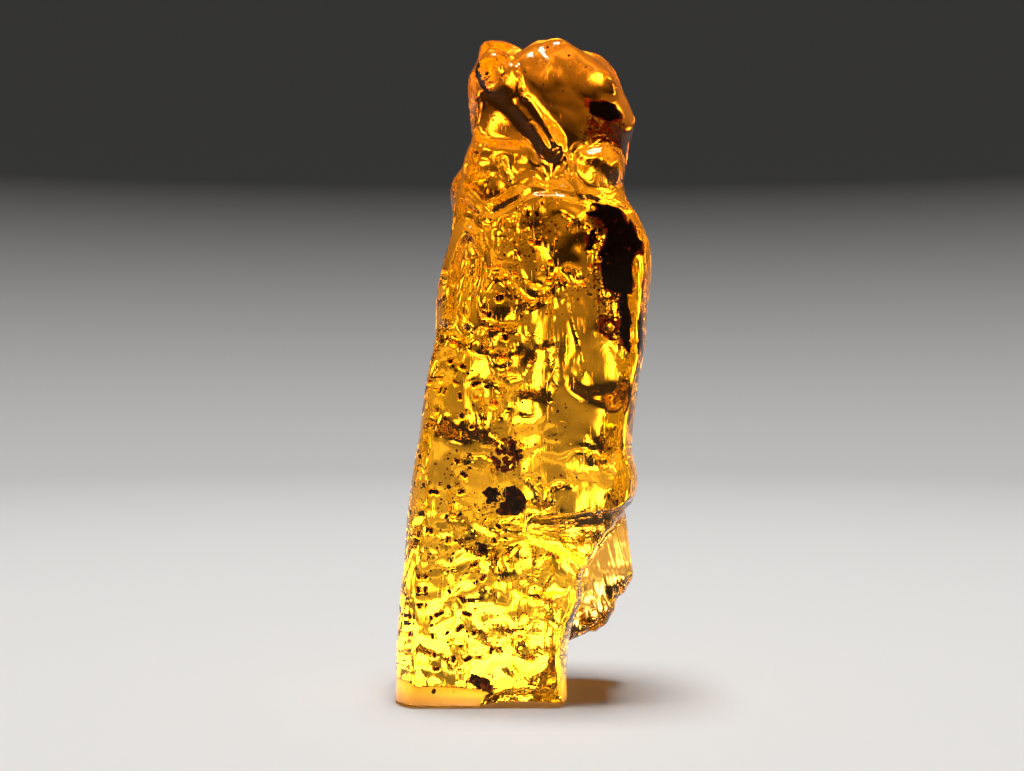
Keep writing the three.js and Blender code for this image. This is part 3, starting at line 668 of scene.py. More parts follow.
def layered(x, y, z, rows):
    """Soft noise in layers, each with its depth, its stretch upwards, its size and its seed."""
    return sum(deep * soft_noise(x, y, z * stretch, *noise) for deep, stretch, *noise in rows)


def bowls(x, y, z, size, reach, seed):
    """Round dents scattered at the given spacing: how deep each point lies, as a share of 1."""
    first, _ = cell_noise(x, y, z, size, seed)
    inside = np.clip(1 - (first / reach) ** 2, 0, 1)
    return inside * inside


def winding_lines(x, y, z, size, width, seed):
    """Winding, closing lines, 1 on the line and 0 away from it, where a noise crosses zero."""
    return ridge(soft_noise(x, y, z, size, seed) * size, NOISE_GAIN * width)


def stirred(x, y, z, size, turns, seed):
    """Lines like those in stirred syrup, -1 to 1: the level lines of a slow noise."""
    return np.cos(2 * math.pi * turns * soft_noise(x, y, z, size, seed))


# -------- outlines in the window's plane


def arc_distance(x, z, arc):
    """The distance to an arc (x, z, radius, from, to in degrees)."""
    centre_x, centre_z, radius, start, end = arc
    middle, half = math.radians((start + end) / 2), math.radians((end - start) / 2)
    u, w = x - centre_x, z - centre_z
    angle = np.arctan2(w, u) - middle
    angle = np.abs((angle + math.pi) % (2 * math.pi) - math.pi)
    beyond = np.maximum(angle - half, 0) * radius
    return np.hypot(np.hypot(u, w) - radius, beyond)


def path_distance(x, z, path):
    """The distance to a path of straight pieces."""
    nearest = np.full(np.shape(x), 1e9)
    for (x0, z0), (x1, z1) in zip(path, path[1:]):
        dx, dz = x1 - x0, z1 - z0
        t = np.clip(((x - x0) * dx + (z - z0) * dz) / (dx * dx + dz * dz), 0, 1)
        nearest = np.minimum(nearest, np.hypot(x - x0 - t * dx, z - z0 - t * dz))
    return nearest


def outline_distance(x, z, outline):
    """The distance to the edge of an outline, less than zero inside it."""
    closed = outline + outline[:1]
    inside = np.zeros(np.shape(x), bool)
    for (x0, z0), (x1, z1) in zip(closed, closed[1:]):
        if z1 != z0:
            inside ^= ((z0 > z) != (z1 > z)) & (x < x0 + (z - z0) * (x1 - x0) / (z1 - z0))
    nearest = path_distance(x, z, closed)
    return np.where(inside, -nearest, nearest)


def face_depth(x, z, top, foot, width, slope_across, slope_up):
    """How far a slanting face goes in, more to its right and its top."""
    length = math.dist(top, foot)
    run_x, run_z = (top[0] - foot[0]) / length, (top[1] - foot[1]) / length
    across = (x - foot[0]) * run_z - (z - foot[1]) * run_x
    up = (x - foot[0]) * run_x + (z - foot[1]) * run_z
    soft = FACE_ROUND
    ends = smooth_step(up, -soft, soft) * smooth_step(-up, -length - soft, soft - length)
    sides = smooth_step(across, *FACE_START) * smooth_step(-across, -width, soft - width)
    return (slope_across * across + slope_up * (up - length / 2)) * sides * ends


# -------- the finished form


def liveliness(x, z):
    """How strong the back's relief is at a place in the window, from 0 to 1."""
    lively = 1.0
    for centre_x, centre_z, reach_x, reach_z, share in CALM:
        off = ((x - centre_x) / reach_x) ** 2 + ((z - centre_z) / reach_z) ** 2
        lively = lively * (1 - share * smooth_step(-off, *CALM_FADE))
    return lively


def noisy_relief(x, y, z, back):
    """The finer relief, worked out from noise: how far the skin stands in."""
    busy = back * (1 + FOOT_SHARE * smooth_step(-z, *FOOT_FADE))
    (far_x, *bend_x), (far_z, *bend_z) = BENDS
    bent_x = x + far_x * soft_noise(x, y, z, *bend_x)
    bent_z = z + far_z * soft_noise(x, y, z, *bend_z)
    upright = (bent_x, y, bent_z * WINDING_STRETCH)
    depth = 0.0
    for (plain, further, *line), place in zip(WINDINGS, (upright, upright[::-1])):
        depth += (plain + further * busy) * winding_lines(*place, *line)
    deep, stretch, *swirl = STIRRED
    depth += deep * busy * stirred(bent_x, y, bent_z * stretch, *swirl)
    for plain, further, *bowl in BOWLS:
        depth += (plain + further * busy) * bowls(x, y, z, *bowl)
    plain, further, stretch, *rough = ROUGH
    depth += (plain + further * back) * soft_noise(bent_x, y, bent_z * stretch, *rough)
    deep, *grain = GRAIN
    return depth + deep * soft_noise(x, y, z, *grain)


def relief(x, y, z):
    """How far the natural skin stands in (more than zero) or out, beyond the plain form."""
    ahead, beyond = plain_distance(x, y - FACING_STEP, z), plain_distance(x, y + FACING_STEP, z)
    facing = smooth_step(np.abs(beyond - ahead) / (2 * FACING_STEP), *FACING_FADE)
    behind = smooth_step(y, *BACK_FADE) * (FLANK_SHARE + (1 - FLANK_SHARE) * facing)
    depth = noisy_relief(x, y, z, behind * liveliness(x, z))
    for height, width, path in BACK_RIDGES:
        depth -= height * behind * ridge(path_distance(x, z, path), width)
    for height, width, *arc in BACK_ARCS:
        depth -= height * behind * ridge(arc_distance(x, z, arc), width)
    for face in BACK_FACES:
        depth += behind * face_depth(x, z, *face)
    before = smooth_step(-y, *FRONT_FADE)
    for height, width, path in FRONT_RIDGES:
        depth -= height * before * ridge(path_distance(x, z, path), width)
    right_of, below, height, spacing, slant = LOBE_FOLDS
    fade_x, fade_z = LOBE_FADE
    lobe = smooth_step(x, right_of, right_of + fade_x) * smooth_step(-z, -below, fade_z - below)
    return depth + height * lobe * np.cos(2 * math.pi * (x + slant * z) / spacing)


def chip_distance(x, y, z):
    """The scoop that a conchoidal chip took out of the base's front edge, rippled."""
    u, v, w = ((p - c) / s for p, c, s in zip((x, y, z), CHIP_AT, CHIP_SIZE))
    reach = np.sqrt(u * u + v * v + w * w)
    ripple_x, ripple_z, closeness, depth = CHIP_RIPPLE
    ripple = depth * np.sin(closeness * np.sqrt((x - ripple_x) ** 2 + (z - ripple_z) ** 2))
    return (reach - 1) * min(CHIP_SIZE) + ripple


def resin_distance(x, y, z):
    """The distance to the finished outside of the resin, less than zero inside it."""
    distance = plain_distance(x, y, z)
    near = np.abs(distance) < SKIN_BAND
    distance[near] += relief(x[near], y[near], z[near])
    distance = smooth_max(distance, -chip_distance(x, y, z), CHIP_ROUND)
    distance = smooth_max(distance, WINDOW_Y - CUT_MARGIN - y, RIM_ROUND)
    return smooth_max(distance, -CUT_MARGIN - z, FOOT_ROUND)


# -------- meshing


def net_points(field, low, cell):
    """A point in each cell of a grid that the zero surface crosses, and the points' numbers."""
    shape = np.array(field.shape) - 1
    total, count = np.zeros((*shape, 3)), np.zeros(shape)
    for axis, start in product(range(3), product((0, 1), repeat=3)):
        if start[axis] == 0:
            edge = np.eye(3, dtype=int)[axis]
            a, b = (
                field[tuple(slice(v, v + n) for v, n in zip(corner, shape))]
                for corner in (start, start + edge)
            )
            crossed = (a < 0) != (b < 0)
            share = np.where(crossed, a / np.where(crossed, a - b, 1), 0)
            total += crossed[..., None] * (start + share[..., None] * edge)
            count += crossed
    used = count > 0
    number = np.full(shape, -1)
    number[used] = np.arange(used.sum())
    return np.array(low) + cell * (np.argwhere(used) + total[used] / count[used][:, None]), number


def net_faces(inside, number):
    """A face of four points round each edge of the grid that passes from inside to outside."""
    unit = np.eye(3, dtype=int)
    faces = []
    for axis in range(3):
        u, v = unit[(axis + 1) % 3], unit[(axis + 2) % 3]
        change = -np.diff(inside.astype(int), axis=axis)
        for sign in (1, -1):
            at = np.argwhere(change == sign)
            at = at[((at >= u + v) & (at < number.shape)).all(1)]
            corners = [-u - v, -v, 0 * u, -u][::sign]
            faces.append(np.stack([number[tuple((at + corner).T)] for corner in corners], 1))
    return np.concatenate(faces)


def net_of(distance, low, high, cell, rounds=2):
    """The closed mesh where distance(x, y, z) is zero: points, and faces as four corners each."""
    axes = [np.arange(a, b + cell, cell) for a, b in zip(low, high)]
    field = distance(*np.broadcast_arrays(*np.ix_(*axes)))
    points, number = net_points(field, low, cell)
    faces = net_faces(field < 0, number)
    for _ in range(rounds):
        points = settled(evened(points, faces), distance)
    return points, faces


def evened(points, faces):
    """Each point half way to the middle of its neighbours, which evens out the faces."""
    total = np.zeros_like(points)
    count = np.zeros(len(points))
    for k, turn in product(range(4), (-1, 1)):
        neighbour = points[faces[:, (k + turn) % 4]]
        for axis in range(3):
            total[:, axis] += np.bincount(faces[:, k], neighbour[:, axis], len(points))
        count += np.bincount(faces[:, k], minlength=len(points))
    return (points + total / count[:, None]) / 2


def settled(points, distance, step=0.02, reach=0.4, least_slope=0.05):
    """Each point moved along the slope of distance to where it is zero."""
    value = distance(*points.T)
    slope = np.empty_like(points)
    for axis in range(3):
        moved = points.copy()
        moved[:, axis] += step
        slope[:, axis] = (distance(*moved.T) - value) / step
    steepness = np.maximum((slope**2).sum(1), least_slope)
    return points - slope * np.clip(value / steepness, -reach, reach)[:, None]


def mesh_object(name, points, faces, scale=MM):
    """A smooth object whose mesh has the given points, in millimetres or at another scale."""
    mesh = bpy.data.meshes.new(name)
    mesh.from_pydata((np.asarray(points) * scale).tolist(), [], np.asarray(faces).tolist())
    mesh.polygons.foreach_set("use_smooth", [True] * len(mesh.polygons))
    mesh.update()
    piece = bpy.data.objects.new(name, mesh)
    bpy.context.scene.collection.objects.link(piece)
    return piece


def finish_piece(piece, material, slot, *nodes):
    """Gives a piece its material and hides the nodes of the solid model that it replaces; the slot is
    not used.
    """
    piece.data.materials.append(material)
    if nodes:
        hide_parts(*nodes)
    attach(piece, "root")


def cut_flat(shape, at, outward):
    """Takes off what lies past a plane, and closes the cut with flat faces."""
    everything = list(shape.verts) + list(shape.edges) + list(shape.faces)
    cut = bmesh.ops.bisect_plane(
        shape, geom=everything, dist=1e-7, plane_co=at, plane_no=outward, clear_outer=True
    )
    rim = [item for item in cut["geom_cut"] if isinstance(item, bmesh.types.BMEdge)]
    rim = [edge for edge in rim if edge.is_boundary]
    filled = bmesh.ops.triangle_fill(shape, use_beauty=True, edges=rim, normal=outward)
    for face in filled["geom"]:
        if isinstance(face, bmesh.types.BMFace):
            face.smooth = True


# -------- materials


class Tree:
    """A node tree, with short ways to add nodes to it and to wire them."""

    def __init__(self, tree):
        self.nodes = tree.nodes
        self.links = tree.links

    def give(self, socket, value):
        """Sets an input, or links it to another node's output."""
        if isinstance(value, bpy.types.NodeSocket):
            self.links.new(value, socket)
        else:
            socket.default_value = value

    def fill(self, node, **inputs):
        """Gives the named node its inputs, in whose names _ stands for a space."""
        for name, value in inputs.items():
            self.give(self.nodes[node].inputs[name.replace("_", " ")], value)

    def add(self, kind, output=0, **inputs):
        """The named or numbered output of a new node."""
        node = self.nodes.new("ShaderNode" + kind)
        self.fill(node.name, **inputs)
        return node.outputs[output]

    def calc(self, operation, *values):
        """What a new Math node works out from one to three values."""
        node = self.nodes.new("ShaderNodeMath")
        node.operation = operation
        for socket, value in zip(node.inputs, values):
            self.give(socket, value)
        return node.outputs[0]

    def attribute(self, name):
        """A value that the mesh has at each point."""
        node = self.nodes.new("ShaderNodeAttribute")
        node.attribute_name = name
        return node.outputs["Fac"]

    def ramp(self, share, stops):
        """A colour for each share from 0 to 1, through two or more stops (share, colour)."""
        colour = self.add("ValToRGB", Fac=share)
        elements = colour.node.color_ramp.elements
        for _ in stops[2:]:
            elements.new(0.5)
        for element, (place, tint) in zip(elements, stops):
            element.position = place
            element.color = (*tint, 1)
        return colour


def new_material(name):
    """A node material and its tree."""
    material = bpy.data.materials.new(name)
    material.use_nodes = True
    return material, Tree(material.node_tree)


def resin_roughness(tree, place, height):
    """Polished at the window, a little cloudy on the natural skin, matt where it was sawn."""
    depth = tree.add("SeparateXYZ", "Y", Vector=place)
    natural = tree.calc("GREATER_THAN", depth, POLISHED_TO)
    cloud = tree.add("TexNoise", Vector=place, Scale=140, Detail=4)
    low, high = NATURAL_ROUGHNESS
    cloudy = tree.add("MapRange", Value=cloud, From_Min=0.4, From_Max=0.75, To_Min=low, To_Max=high)
    skin = tree.add("Mix", Factor=natural, A=POLISHED_ROUGHNESS, B=cloudy)
    sawn = tree.calc("LESS_THAN", height, SAWN_TO)
    return tree.calc("MULTIPLY_ADD", sawn, SAWN_ROUGHNESS, skin)


def resin_normal(tree, place):
    """Fine flow lines where the mesh says that the skin is lined, and fine scratches all over."""
    slow = tree.add("TexNoise", Vector=place, Scale=LINE_CELLS, Detail=1, Distortion=0.6)
    lines = tree.calc("SINE", tree.calc("MULTIPLY", slow, LINE_TURNS))
    bump = tree.add("Bump", Height=lines, Strength=tree.attribute("lined"), Distance=LINE_DEPTH)
    stretch = (1, 1, SCRATCH_STRETCH)
    turned = tree.add("Mapping", Vector=place, Rotation=(0, SCRATCH_TURN, 0), Scale=stretch)
    grit = tree.add("TexNoise", Vector=turned, Scale=SCRATCH_CELLS, Distortion=0.4)
    scratch = tree.add("MapRange", Value=grit, From_Min=0.6, From_Max=0.75)
    return tree.add("Bump", Height=scratch, Distance=SCRATCH_DEPTH, Normal=bump)


def resin_material():
    """Clear golden resin: polished where the window is, finely lined by its flow elsewhere."""
    material, tree = new_material("copal_resin")
    place = tree.add("TexCoord", "Object")
    height = tree.add("SeparateXYZ", "Z", Vector=place)
    tree.fill(
        "Principled BSDF",
        # The base colour deepens with height: painted shade, in place of light from below crossing
        # more resin.
        Base_Color=tree.ramp(tree.add("MapRange", Value=height, From_Max=RESIN_HEIGHT), RESIN_TINTS_WITH_PAINTED_SHADE),
        Transmission_Weight=1,
        IOR=RESIN_IOR,
        Roughness=resin_roughness(tree, place, height),
        Specular_Tint=RESIN_GLOSS,
        Normal=resin_normal(tree, place),
    )
    absorb = tree.add("VolumeAbsorption", Color=RESIN_ABSORB_COLOR, Density=RESIN_ABSORB_DENSITY)
    tree.fill("Material Output", Volume=absorb)
    return material


def debris_material(name):
    """Matt crumbly bark or frass, mottled between two colours; bark is lighter on its rim."""
    material, tree = new_material(name)
    place = tree.add("TexCoord", "Object")
    mottle = tree.add("TexNoise", Vector=place, Scale=MOTTLE_SCALE, Detail=5, Roughness=0.65)
    share = mottle
    if name == "bark":
        share = tree.calc("MULTIPLY_ADD", tree.attribute("rim"), RIM_LIGHTER, mottle)
    strength, depth = DEBRIS_BUMP
    tree.fill(
        "Principled BSDF",
        Base_Color=tree.ramp(share, DEBRIS_LOOKS[name]),
        Roughness=DEBRIS_ROUGHNESS,
        Specular_IOR_Level=DEBRIS_GLOSS,
        Normal=tree.add("Bump", Height=mottle, Strength=strength, Distance=depth),
    )
    return material


# -------- the resin


def ball(centre, radius, rings, sides):
    """A sphere as points and triangles, facing inwards, for a bubble."""
    points = [(0, 0, -1)]
    for ring in range(1, rings):
        polar = math.pi * ring / rings
        out = math.sin(polar)
        for side in range(sides):
            turn = 2 * math.pi * (side + 0.5 * (ring % 2)) / sides
            points.append((out * math.cos(turn), out * math.sin(turn), -math.cos(polar)))
    points.append((0, 0, 1))
    last = len(points) - 1
    faces = []
    for side in range(sides):
        after = (side + 1) % sides
        faces.append((0, 1 + side, 1 + after))
        faces.append((last, last - sides + after, last - sides + side))
        for here in range(1, 1 + (rings - 2) * sides, sides):
            up = here + sides
            faces.append((here + side, up + side, here + after))
            faces.append((here + after, up + side, up + after))
    return np.array(points) * radius + centre, faces


def taken_room():
    """What a bubble must keep clear of, as balls (x, y, z, radius): the pellets and lumps."""
    room = []
    for x, z, length, *_ in PELLETS + SMALL_PELLETS:
        room.append((x, flow_depth(x, z), z, length / 2 + HALO))
    for (x, z), size, *_ in LUMPS.values():
        room.append((x, flow_depth(x, z), z, max(size) / 2 + DEBRIS_APART))
    return room


def in_sheet(x, y, z, radius):
    """Whether a bubble would touch a sheet of bark."""
    if abs(y - flow_depth(x, z)) > radius + SHEET_REACH:
        return False
    outlines = [outline for _, *both in SHEETS.values() for outline in both]
    at = np.array([x]), np.array([z])
    return any(outline_distance(*at, each)[0] < radius + DEBRIS_APART for each in outlines)


def wished_bubbles():
    """The large bubbles, and small ones drawn at random near the flow surface."""
    draw = np.random.default_rng(BUBBLE_SEED)
    small, large = BUBBLE_RADII
    wished = list(BIG_BUBBLES)
    for centre_x, centre_z, spread, count in BUBBLE_DRIFTS:
        for _ in range(count):
            radius = small + (large - small) * draw.random() ** 2
            x, z = draw.normal((centre_x, centre_z), spread)
            wished.append((x, flow_depth(x, z) + draw.uniform(-1, 1) * BUBBLE_SCATTER, z, radius))
    return wished


def bubbles():
    """Bubbles well inside the resin and clear of all else, as inward-facing closed forms."""
    kept = []
    room = taken_room()
    for x, y, z, radius in wished_bubbles():
        clear = all(
            math.dist((x, y, z), centre) > radius + other + BUBBLE_APART for *centre, other in room
        )
        cover = -resin_distance(np.array([x]), np.array([y]), np.array([z]))[0]
        if clear and cover > radius + BUBBLE_COVER and not in_sheet(x, y, z, radius):
            room.append((x, y, z, radius))
            parts = LARGE_BALL_FACES if radius > LARGE_BALL else BALL_FACES
            kept.append(ball((x, y, z), radius, *parts))
    return kept


def halos():
    """The film of air round each pellet, as an inward-facing closed form."""
    made = []
    for values in PELLETS:
        form = pellet_form(*values, room=HALO, rough=HALO_ROUGHNESS)
        points, faces = net_of(*form, HALO_CELL)
        made.append((points, faces[:, ::-1]))
    return made


def line_strength(shape):
    """How strongly the fine flow lines show at each point of the skin, from 0 to 1."""
    x, y, z = np.array([vertex.co for vertex in shape.verts]).T / MM
    drift = LINE_LEAST + (1 - LINE_LEAST) * smooth_step(soft_noise(x, y, z, *LINE_PATCH), *LINE_DRIFT)
    return (smooth_step(y, *LINED_FROM) * liveliness(x, z) * drift).tolist()


def make_resin():
    """The lump itself: its skin, the window and base cut flat, and the air inside it."""
    points, faces = net_of(resin_distance, *RESIN_BOX, CELL, rounds=3)
    piece = mesh_object("copal", points, faces)
    shape = bmesh.new()
    shape.from_mesh(piece.data)
    cut_flat(shape, (0, WINDOW_Y * MM, 0), (0, -1, 0))
    cut_flat(shape, (0, 0, 0), (0, 0, -1))
    bmesh.ops.recalc_face_normals(shape, faces=shape.faces)
    lined = shape.verts.layers.float.new("lined")
    for vertex, strength in zip(list(shape.verts), line_strength(shape)):
        vertex[lined] = strength
    for void_points, void_faces in bubbles() + halos():
        corners = [shape.verts.new(point) for point in void_points * MM]
        for face in void_faces:
            shape.faces.new([corners[k] for k in face]).smooth = True
    shape.to_mesh(piece.data)
    shape.free()
    piece.data.set_sharp_from_angle(angle=SHARP_ANGLE)
    finish_piece(piece, resin_material(), "resin", "copal_front", "copal_back")


# -------- the sealed pieces


def sheet_form(name):
    """The distance to a ragged sheet of bark and its lace, and the box that they lie in."""
    thickness, outline, lace_outline = SHEETS[name]
    every = np.array(outline + lace_outline)
    margin, margin_y = SHEET_MARGIN
    low, high = every.min(0) - margin, every.max(0) + margin
    middle = flow_depth(*every.mean(0))
    ring_x, ring_z, ring_radius, ring_width = PATCH_RING
    bead_x, bead_z, bead_radius = HEAD_BEAD
    wave, *wave_noise = SHEET_WAVE
    uneven, *uneven_noise = LACE_UNEVEN
    inset, inset_y = SHEET_INSET

    def distance(x, y, z):
        off = np.abs(y - flow_depth(x, z) + wave * soft_noise(x, y * 0, z, *wave_noise))
        fray = RAGGED * layered(x, y, z, FRAY)
        crackle = layered(x, y, z, CRACKLE)
        edge = outline_distance(x, z, outline) + inset + fray
        core = smooth_max(edge, off - thickness / 2 + inset_y, SHEET_ROUND)
        first, second = cell_noise(x, y * LACE_STRETCH, z, LACE_CELL, LACE_SEED)
        thread = LACE_THREAD * (1 + uneven * soft_noise(x, y, z, *uneven_noise))
        lace_edge = outline_distance(x, z, lace_outline) + LACE_FRAY * fray
        lace = np.maximum(lace_edge, off - thickness * LACE_THICKNESS)
        lace = np.maximum(lace, (second - first) * LACE_CELL - thread)
        if name == "bark_patch":
            from_ring = np.hypot(x - ring_x, z - ring_z) - ring_radius
            core = np.minimum(core, np.hypot(from_ring, off) - ring_width + RING_FRAY * fray)
            lace = np.maximum(lace, -from_ring)
        if name == "head_debris":
            from_bead = np.sqrt((x - bead_x) ** 2 + off**2 + (z - bead_z) ** 2)
            core = np.minimum(core, from_bead - bead_radius)
        return np.minimum(core + crackle, lace + LACE_CRACKLE * crackle)

    return distance, (low[0], middle - margin_y, low[1]), (high[0], middle + margin_y, high[1])


def leaning(x, z, centre, lean):
    """Places measured across and along an axis that leans to the right, in degrees."""
    turn = math.radians(lean)
    dx, dz = x - centre[0], z - centre[1]
    return dx * math.cos(turn) - dz * math.sin(turn), dx * math.sin(turn) + dz * math.cos(turn)


def lump_form(name):
    """The distance to a rough lump, and the box that it lies in."""
    centre, size, lean, rough = LUMPS[name]
    half = np.array(size) / 2
    depth = flow_depth(*centre)

    def distance(x, y, z):
        across, up = leaning(x, z, centre, lean)
        reach = np.sqrt((across / half[0]) ** 2 + ((y - depth) / half[1]) ** 2 + (up / half[2]) ** 2)
        first, _ = cell_noise(x, y, z, *LUMP_CELLS)
        grains = rough * (CELL_REACH - first) * CELL_HEIGHT
        coarse = rough * soft_noise(x, y, z, *LUMP_COARSE)
        fine = FINE_SHARE * rough * soft_noise(x, y, z, *LUMP_FINE)
        body = (reach - LUMP_FILL) * half.min()
        if name in LUMP_OUTLINES:
            inset, soft, share, deep, *splinter = FLAT_LUMP
            off = np.abs(y - depth) - half[1] + inset
            body = smooth_max(outline_distance(x, z, LUMP_OUTLINES[name]), off, soft)
            return body - share * (coarse + fine) - deep * soft_noise(x, y, z, *splinter)
        if name == "grain_cluster":
            swollen, spacing, radius, share, soft = CLUSTER
            return smooth_max(body - swollen, first * spacing - radius - share * coarse, soft)
        if name == "base_lump":
            height, spacing, deep, *pit = CROSS_LINES
            coarse = height * np.cos(up * 2 * math.pi / spacing) + deep * soft_noise(x, y, z, *pit)
        return body - grains - coarse - fine

    margin, margin_y = LUMP_MARGIN
    reach = half.max() + margin
    low = (centre[0] - reach, depth - half[1] - margin_y, centre[1] - reach)
    high = (centre[0] + reach, depth + half[1] + margin_y, centre[1] + reach)
    return distance, low, high


def pellet_form(x0, z0, length, width, lean, room=0.0, rough=1.0):
    """The distance to a rough stubby rod, and the box that it lies in."""
    depth = flow_depth(x0, z0)
    straight = max(length - width, LEAST_STRAIGHT) / 2

    def distance(x, y, z):
        across, up = leaning(x, z, (x0, z0), lean)
        beyond = up - np.clip(up, -straight, straight)
        radius = width / 2 + room
        knobs = rough * layered(x, y, z, KNOBS)
        return np.sqrt(across**2 + (y - depth) ** 2 + beyond**2) - radius + knobs

    margin, margin_y = PELLET_MARGIN
    reach = length / 2 + margin + room
    low = (x0 - reach, depth - width / 2 - margin_y, z0 - reach)
    return distance, low, (x0 + reach, depth + width / 2 + margin_y, z0 + reach)


def joined(parts):
    """Several (points, faces) as one."""
    points, faces, count = [], [], 0
    for part_points, part_faces in parts:
        points.append(part_points)
        faces.append(np.asarray(part_faces) + count)
        count += len(part_points)
    return np.concatenate(points), np.concatenate(faces)


def add_sealed(name, form, cell, material, slot):
    """A sealed piece, which stands for the node of the same name, and its points."""
    points, faces = net_of(*form, cell)
    piece = mesh_object(f"{name}_detail", points, faces)
    finish_piece(piece, material, slot, name)
    return piece, points


def mark_rim(piece, points, outline):
    """Marks where a sheet is lighter: at its edge and on its ring of crumbs."""
    rim = 1 + outline_distance(points[:, 0], points[:, 2], outline) / RIM_REACH
    ring_x, ring_z, radius, width = PATCH_RING
    off_ring = np.abs(np.hypot(points[:, 0] - ring_x, points[:, 2] - ring_z) - radius)
    tint = piece.data.attributes.new("rim", "FLOAT", "POINT")
    tint.data.foreach_set("value", np.clip(np.minimum(rim, 0.3 + off_ring / width), 0, 1))


def make_sealed(looks):
    """The sheets of bark, the lumps and the pellets, each in place of its node."""
    for name, (_, outline, _) in SHEETS.items():
        look = looks["charred" if name == "head_crust" else "bark"]
        mark_rim(*add_sealed(name, sheet_form(name), BARK_CELL, look, "bark"), outline)
    for name in LUMPS:
        look, slot = ("red_bark", "red_bark") if name == "grain_cluster" else ("charred", "bark")
        add_sealed(name, lump_form(name), LUMP_CELL, looks[look], slot)
    for number, values in enumerate(PELLETS, 1):
        name = f"frass_pellet_{number:02d}"
        add_sealed(name, pellet_form(*values), PELLET_CELL, looks["frass"], "frass")


def make_small_frass(looks):
    """The pellets too small to be nodes, as one piece."""
    parts = [net_of(*pellet_form(*values), PELLET_CELL) for values in SMALL_PELLETS]
    finish_piece(mesh_object("small_frass", *joined(parts)), looks["frass"], "frass")


def crumb(draw, x, z, scatter):
    """One small angular grain near the flow surface."""
    small, large = CRUMB_SIZE
    size = small + (large - small) * draw.random() ** 3
    shape = OCTAHEDRON * draw.uniform(*CRUMB_CORNERS, (6, 1)) * size * draw.uniform(*CRUMB_SIDES, 3)
    turn = Matrix.Rotation(draw.uniform(0, math.pi), 3, Vector(draw.normal(size=3)))
    depth = flow_depth(x, z) + draw.uniform(-1, 1) * scatter
    return shape @ np.array(turn).T + (x, depth, z), OCTAHEDRON_FACES


def drift_crumbs(draw):
    """Grains scattered in drifts, each with whether it is dark."""
    for x, z, spread, count, darkness in CRUMB_DRIFTS:
        for _ in range(count):
            place = draw.normal((x, z), spread)
            dark = draw.random() < darkness
            grain = crumb(draw, *place, CRUMB_SCATTER)
            if resin_distance(*grain[0].T).max() < -CRUMB_COVER:
                yield dark, grain


def lace_crumbs(draw):
    """Grains in the lace of each sheet, each with whether it is dark."""
    ring_x, ring_z, ring_radius, _ = PATCH_RING
    for name, (_, _, lace_outline) in SHEETS.items():
        low, high = np.min(lace_outline, 0), np.max(lace_outline, 0)
        density, dark_share = LACE_CRUMBS[name]
        for x, z in draw.uniform(low, high, (int(density * np.prod(high - low)), 2)):
            if outline_distance(np.array([x]), np.array([z]), lace_outline)[0] < LACE_REACH:
                dark = draw.random() < dark_share
                in_hole = math.hypot(x - ring_x, z - ring_z) < ring_radius
                yield dark and not in_hole, crumb(draw, x, z, LACE_SCATTER)


def make_crumbs(looks):
    """Loose grains, the dark ones in one piece and the tawny ones in another."""
    draw = np.random.default_rng(CRUMB_SEED)
    grains = list(drift_crumbs(draw)) + list(lace_crumbs(draw))
    sorts = (("dark_crumbs", True, "frass", "frass"), ("tawny_crumbs", False, "tawny", "red_bark"))
    for name, wanted, look, slot in sorts:
        piece = mesh_object(name, *joined([grain for dark, grain in grains if dark == wanted]))
        piece.data.polygons.foreach_set("use_smooth", [False] * len(piece.data.polygons))
        finish_piece(piece, looks[look], slot)


# -------- the studio


def make_stage():
    """A round sweep: a pale floor that turns up, all round, into a wall darkened by painted shade, as
    if the light fell off with height.
    """
    profile = [(0.0, 0.0), (SWEEP_MIDDLE, 0.0), (SWEEP_RADIUS - SWEEP_BEND, 0.0)]
    for k in range(1, SWEEP_STEPS + 1):
        angle = k / SWEEP_STEPS * math.pi / 2
        out = SWEEP_RADIUS - SWEEP_BEND * (1 - math.sin(angle))
        profile.append((out, SWEEP_BEND * (1 - math.cos(angle))))
    profile.append((SWEEP_RADIUS, SWEEP_HEIGHT))
    turns = [k / SWEEP_SIDES * 2 * math.pi for k in range(SWEEP_SIDES)]
    points = [(r * math.cos(a), r * math.sin(a), z - FLOOR_DROP) for r, z in profile for a in turns]
    corners = ((0, 0), (0, 1), (1, 1), (1, 0))
    faces = [
        [(ring + up) * SWEEP_SIDES + (k + on) % SWEEP_SIDES for up, on in corners]
        for ring, k in product(range(len(profile) - 1), range(SWEEP_SIDES))
    ]
    sweep = mesh_object("sweep", points, faces, scale=1)
    material, tree = new_material("pale_sweep")
    height = tree.add("SeparateXYZ", "Z", Vector=tree.add("TexCoord", "Object"))
    # Painted shade: the sweep darkens with height, in place of light falling off up the wall.
    climb = tree.add("MapRange", Value=height, From_Max=WALL_FROM)
    colour = tree.ramp(climb, ((0, FLOOR_COLOUR), (1, WALL_PAINTED_SHADE)))
    tree.fill("Principled BSDF", Base_Color=colour, Roughness=0.9)
    sweep.data.materials.append(material)


def add_light(name, at, target, size, power, colour):
    """A soft box that lights the scene but isn't itself in the picture."""
    lamp = bpy.data.lights.new(name, "AREA")
    lamp.shape = "RECTANGLE"
    lamp.size, lamp.size_y = size
    lamp.energy = power
    lamp.color = colour
    holder = bpy.data.objects.new(name, lamp)
    holder.location = at
    holder.rotation_euler = (Vector(target) - Vector(at)).to_track_quat("-Z", "Y").to_euler()
    holder.visible_camera = False
    bpy.context.scene.collection.objects.link(holder)
    return holder


def make_studio():
    """A faint even light from all round, and one soft light overhead."""
    scene = bpy.context.scene
    scene.world = bpy.data.worlds.new("studio")
    scene.world.use_nodes = True
    Tree(scene.world.node_tree).fill("Background", Color=WORLD_COLOUR, Strength=WORLD_STRENGTH)
    scene.view_settings.view_transform = "Standard"
    scene.cycles.max_bounces = CLEAR_BOUNCES
    scene.cycles.transmission_bounces = CLEAR_BOUNCES
    scene.cycles.glossy_bounces = GLOSSY_BOUNCES
    add_light(*OVERHEAD)


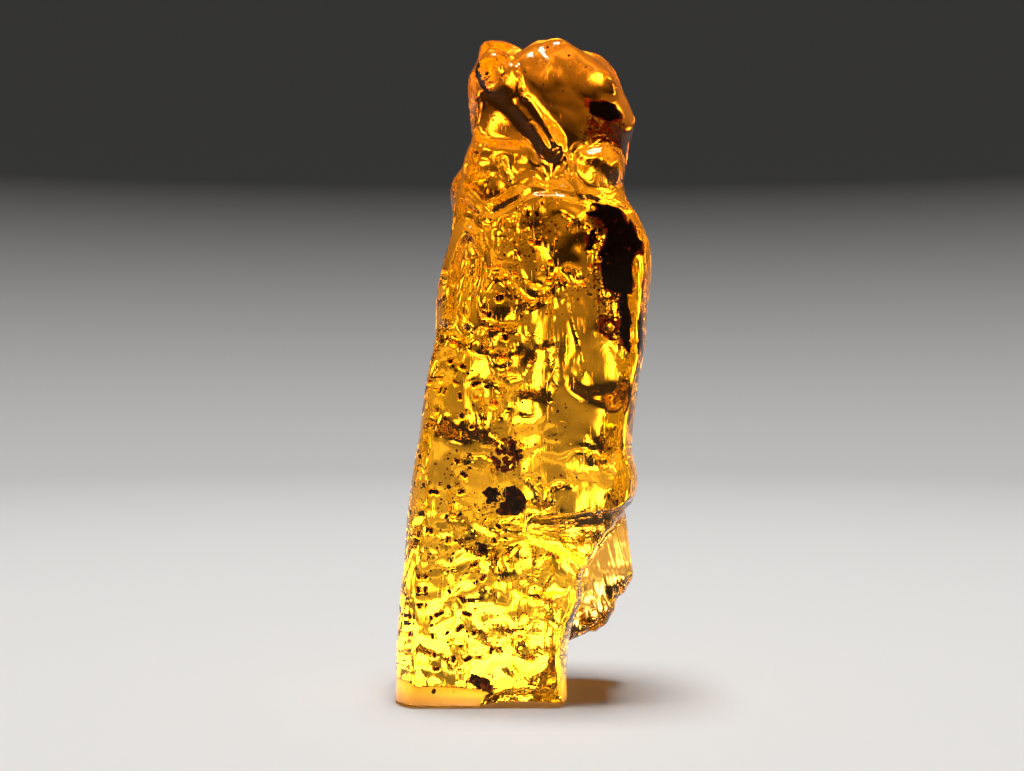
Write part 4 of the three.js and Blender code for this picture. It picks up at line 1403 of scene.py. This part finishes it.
def soften(lamp):
    """Fades an area light from its middle to nothing at its edges."""
    lamp.use_nodes = True
    tree = Tree(lamp.node_tree)
    place = tree.add("NewGeometry", "Parametric")
    strength = 16.0  # so that 16 s (1 - s) t (1 - t) is 1 in the middle
    for axis in "XY":
        share = tree.add("SeparateXYZ", axis, Vector=place)
        hump = tree.calc("MULTIPLY", share, tree.calc("SUBTRACT", 1.0, share))
        strength = tree.calc("MULTIPLY", hump, strength)
    tree.fill("Emission", Strength=tree.calc("POWER", strength, GLOW_FALL))


def strips():
    """Rings of strip lights round the lump, each as the values that add_light takes."""
    for ring, (height, thickness, power, colour, gap) in enumerate(GLINT_RINGS):
        for side in range(GLINT_SIDES):
            turn = 2 * math.pi * (side + 0.5 * (ring % 2)) / GLINT_SIDES
            if abs(math.degrees(turn) - 90) >= gap:
                at = (GLINT_RING * math.cos(turn), GLINT_RING * math.sin(turn), height)
                size = (GLINT_WIDTH, thickness)
                yield f"strip_{ring}_{side}", at, (0, 0, height), size, power, colour


def make_glints():
    """Soft glows and strips that light the lump alone, and aren't mirrored in its skin."""
    lit = bpy.data.collections.new("lit_by_strips")
    for piece in bpy.context.scene.objects:
        if piece.type == "MESH" and piece.name != "sweep":
            lit.objects.link(piece)
    for values in (*GLOWS, *strips()):
        light = add_light(*values)
        light.visible_glossy = False
        light.light_linking.receiver_collection = lit
        soften(light.data)


def make_camera():
    """The photograph's viewpoint: level with the middle of the lump, close in front of it."""
    lens = bpy.data.cameras.new("camera")
    lens.sensor_width = SENSOR_WIDTH
    lens.lens = SENSOR_WIDTH * FOCAL_LENGTH / PICTURE_WIDTH
    lens.clip_start = 0.01
    camera = bpy.data.objects.new("camera", lens)
    camera.location = [value * MM for value in CAMERA_AT]
    camera.rotation_euler = (math.radians(90 - CAMERA_DIP), 0, 0)
    bpy.context.scene.collection.objects.link(camera)
    bpy.context.scene.camera = camera


make_camera()
make_stage()
make_studio()
make_resin()
looks = {name: debris_material(name) for name in DEBRIS_LOOKS}
make_sealed(looks)
make_small_frass(looks)
make_crumbs(looks)
make_glints()
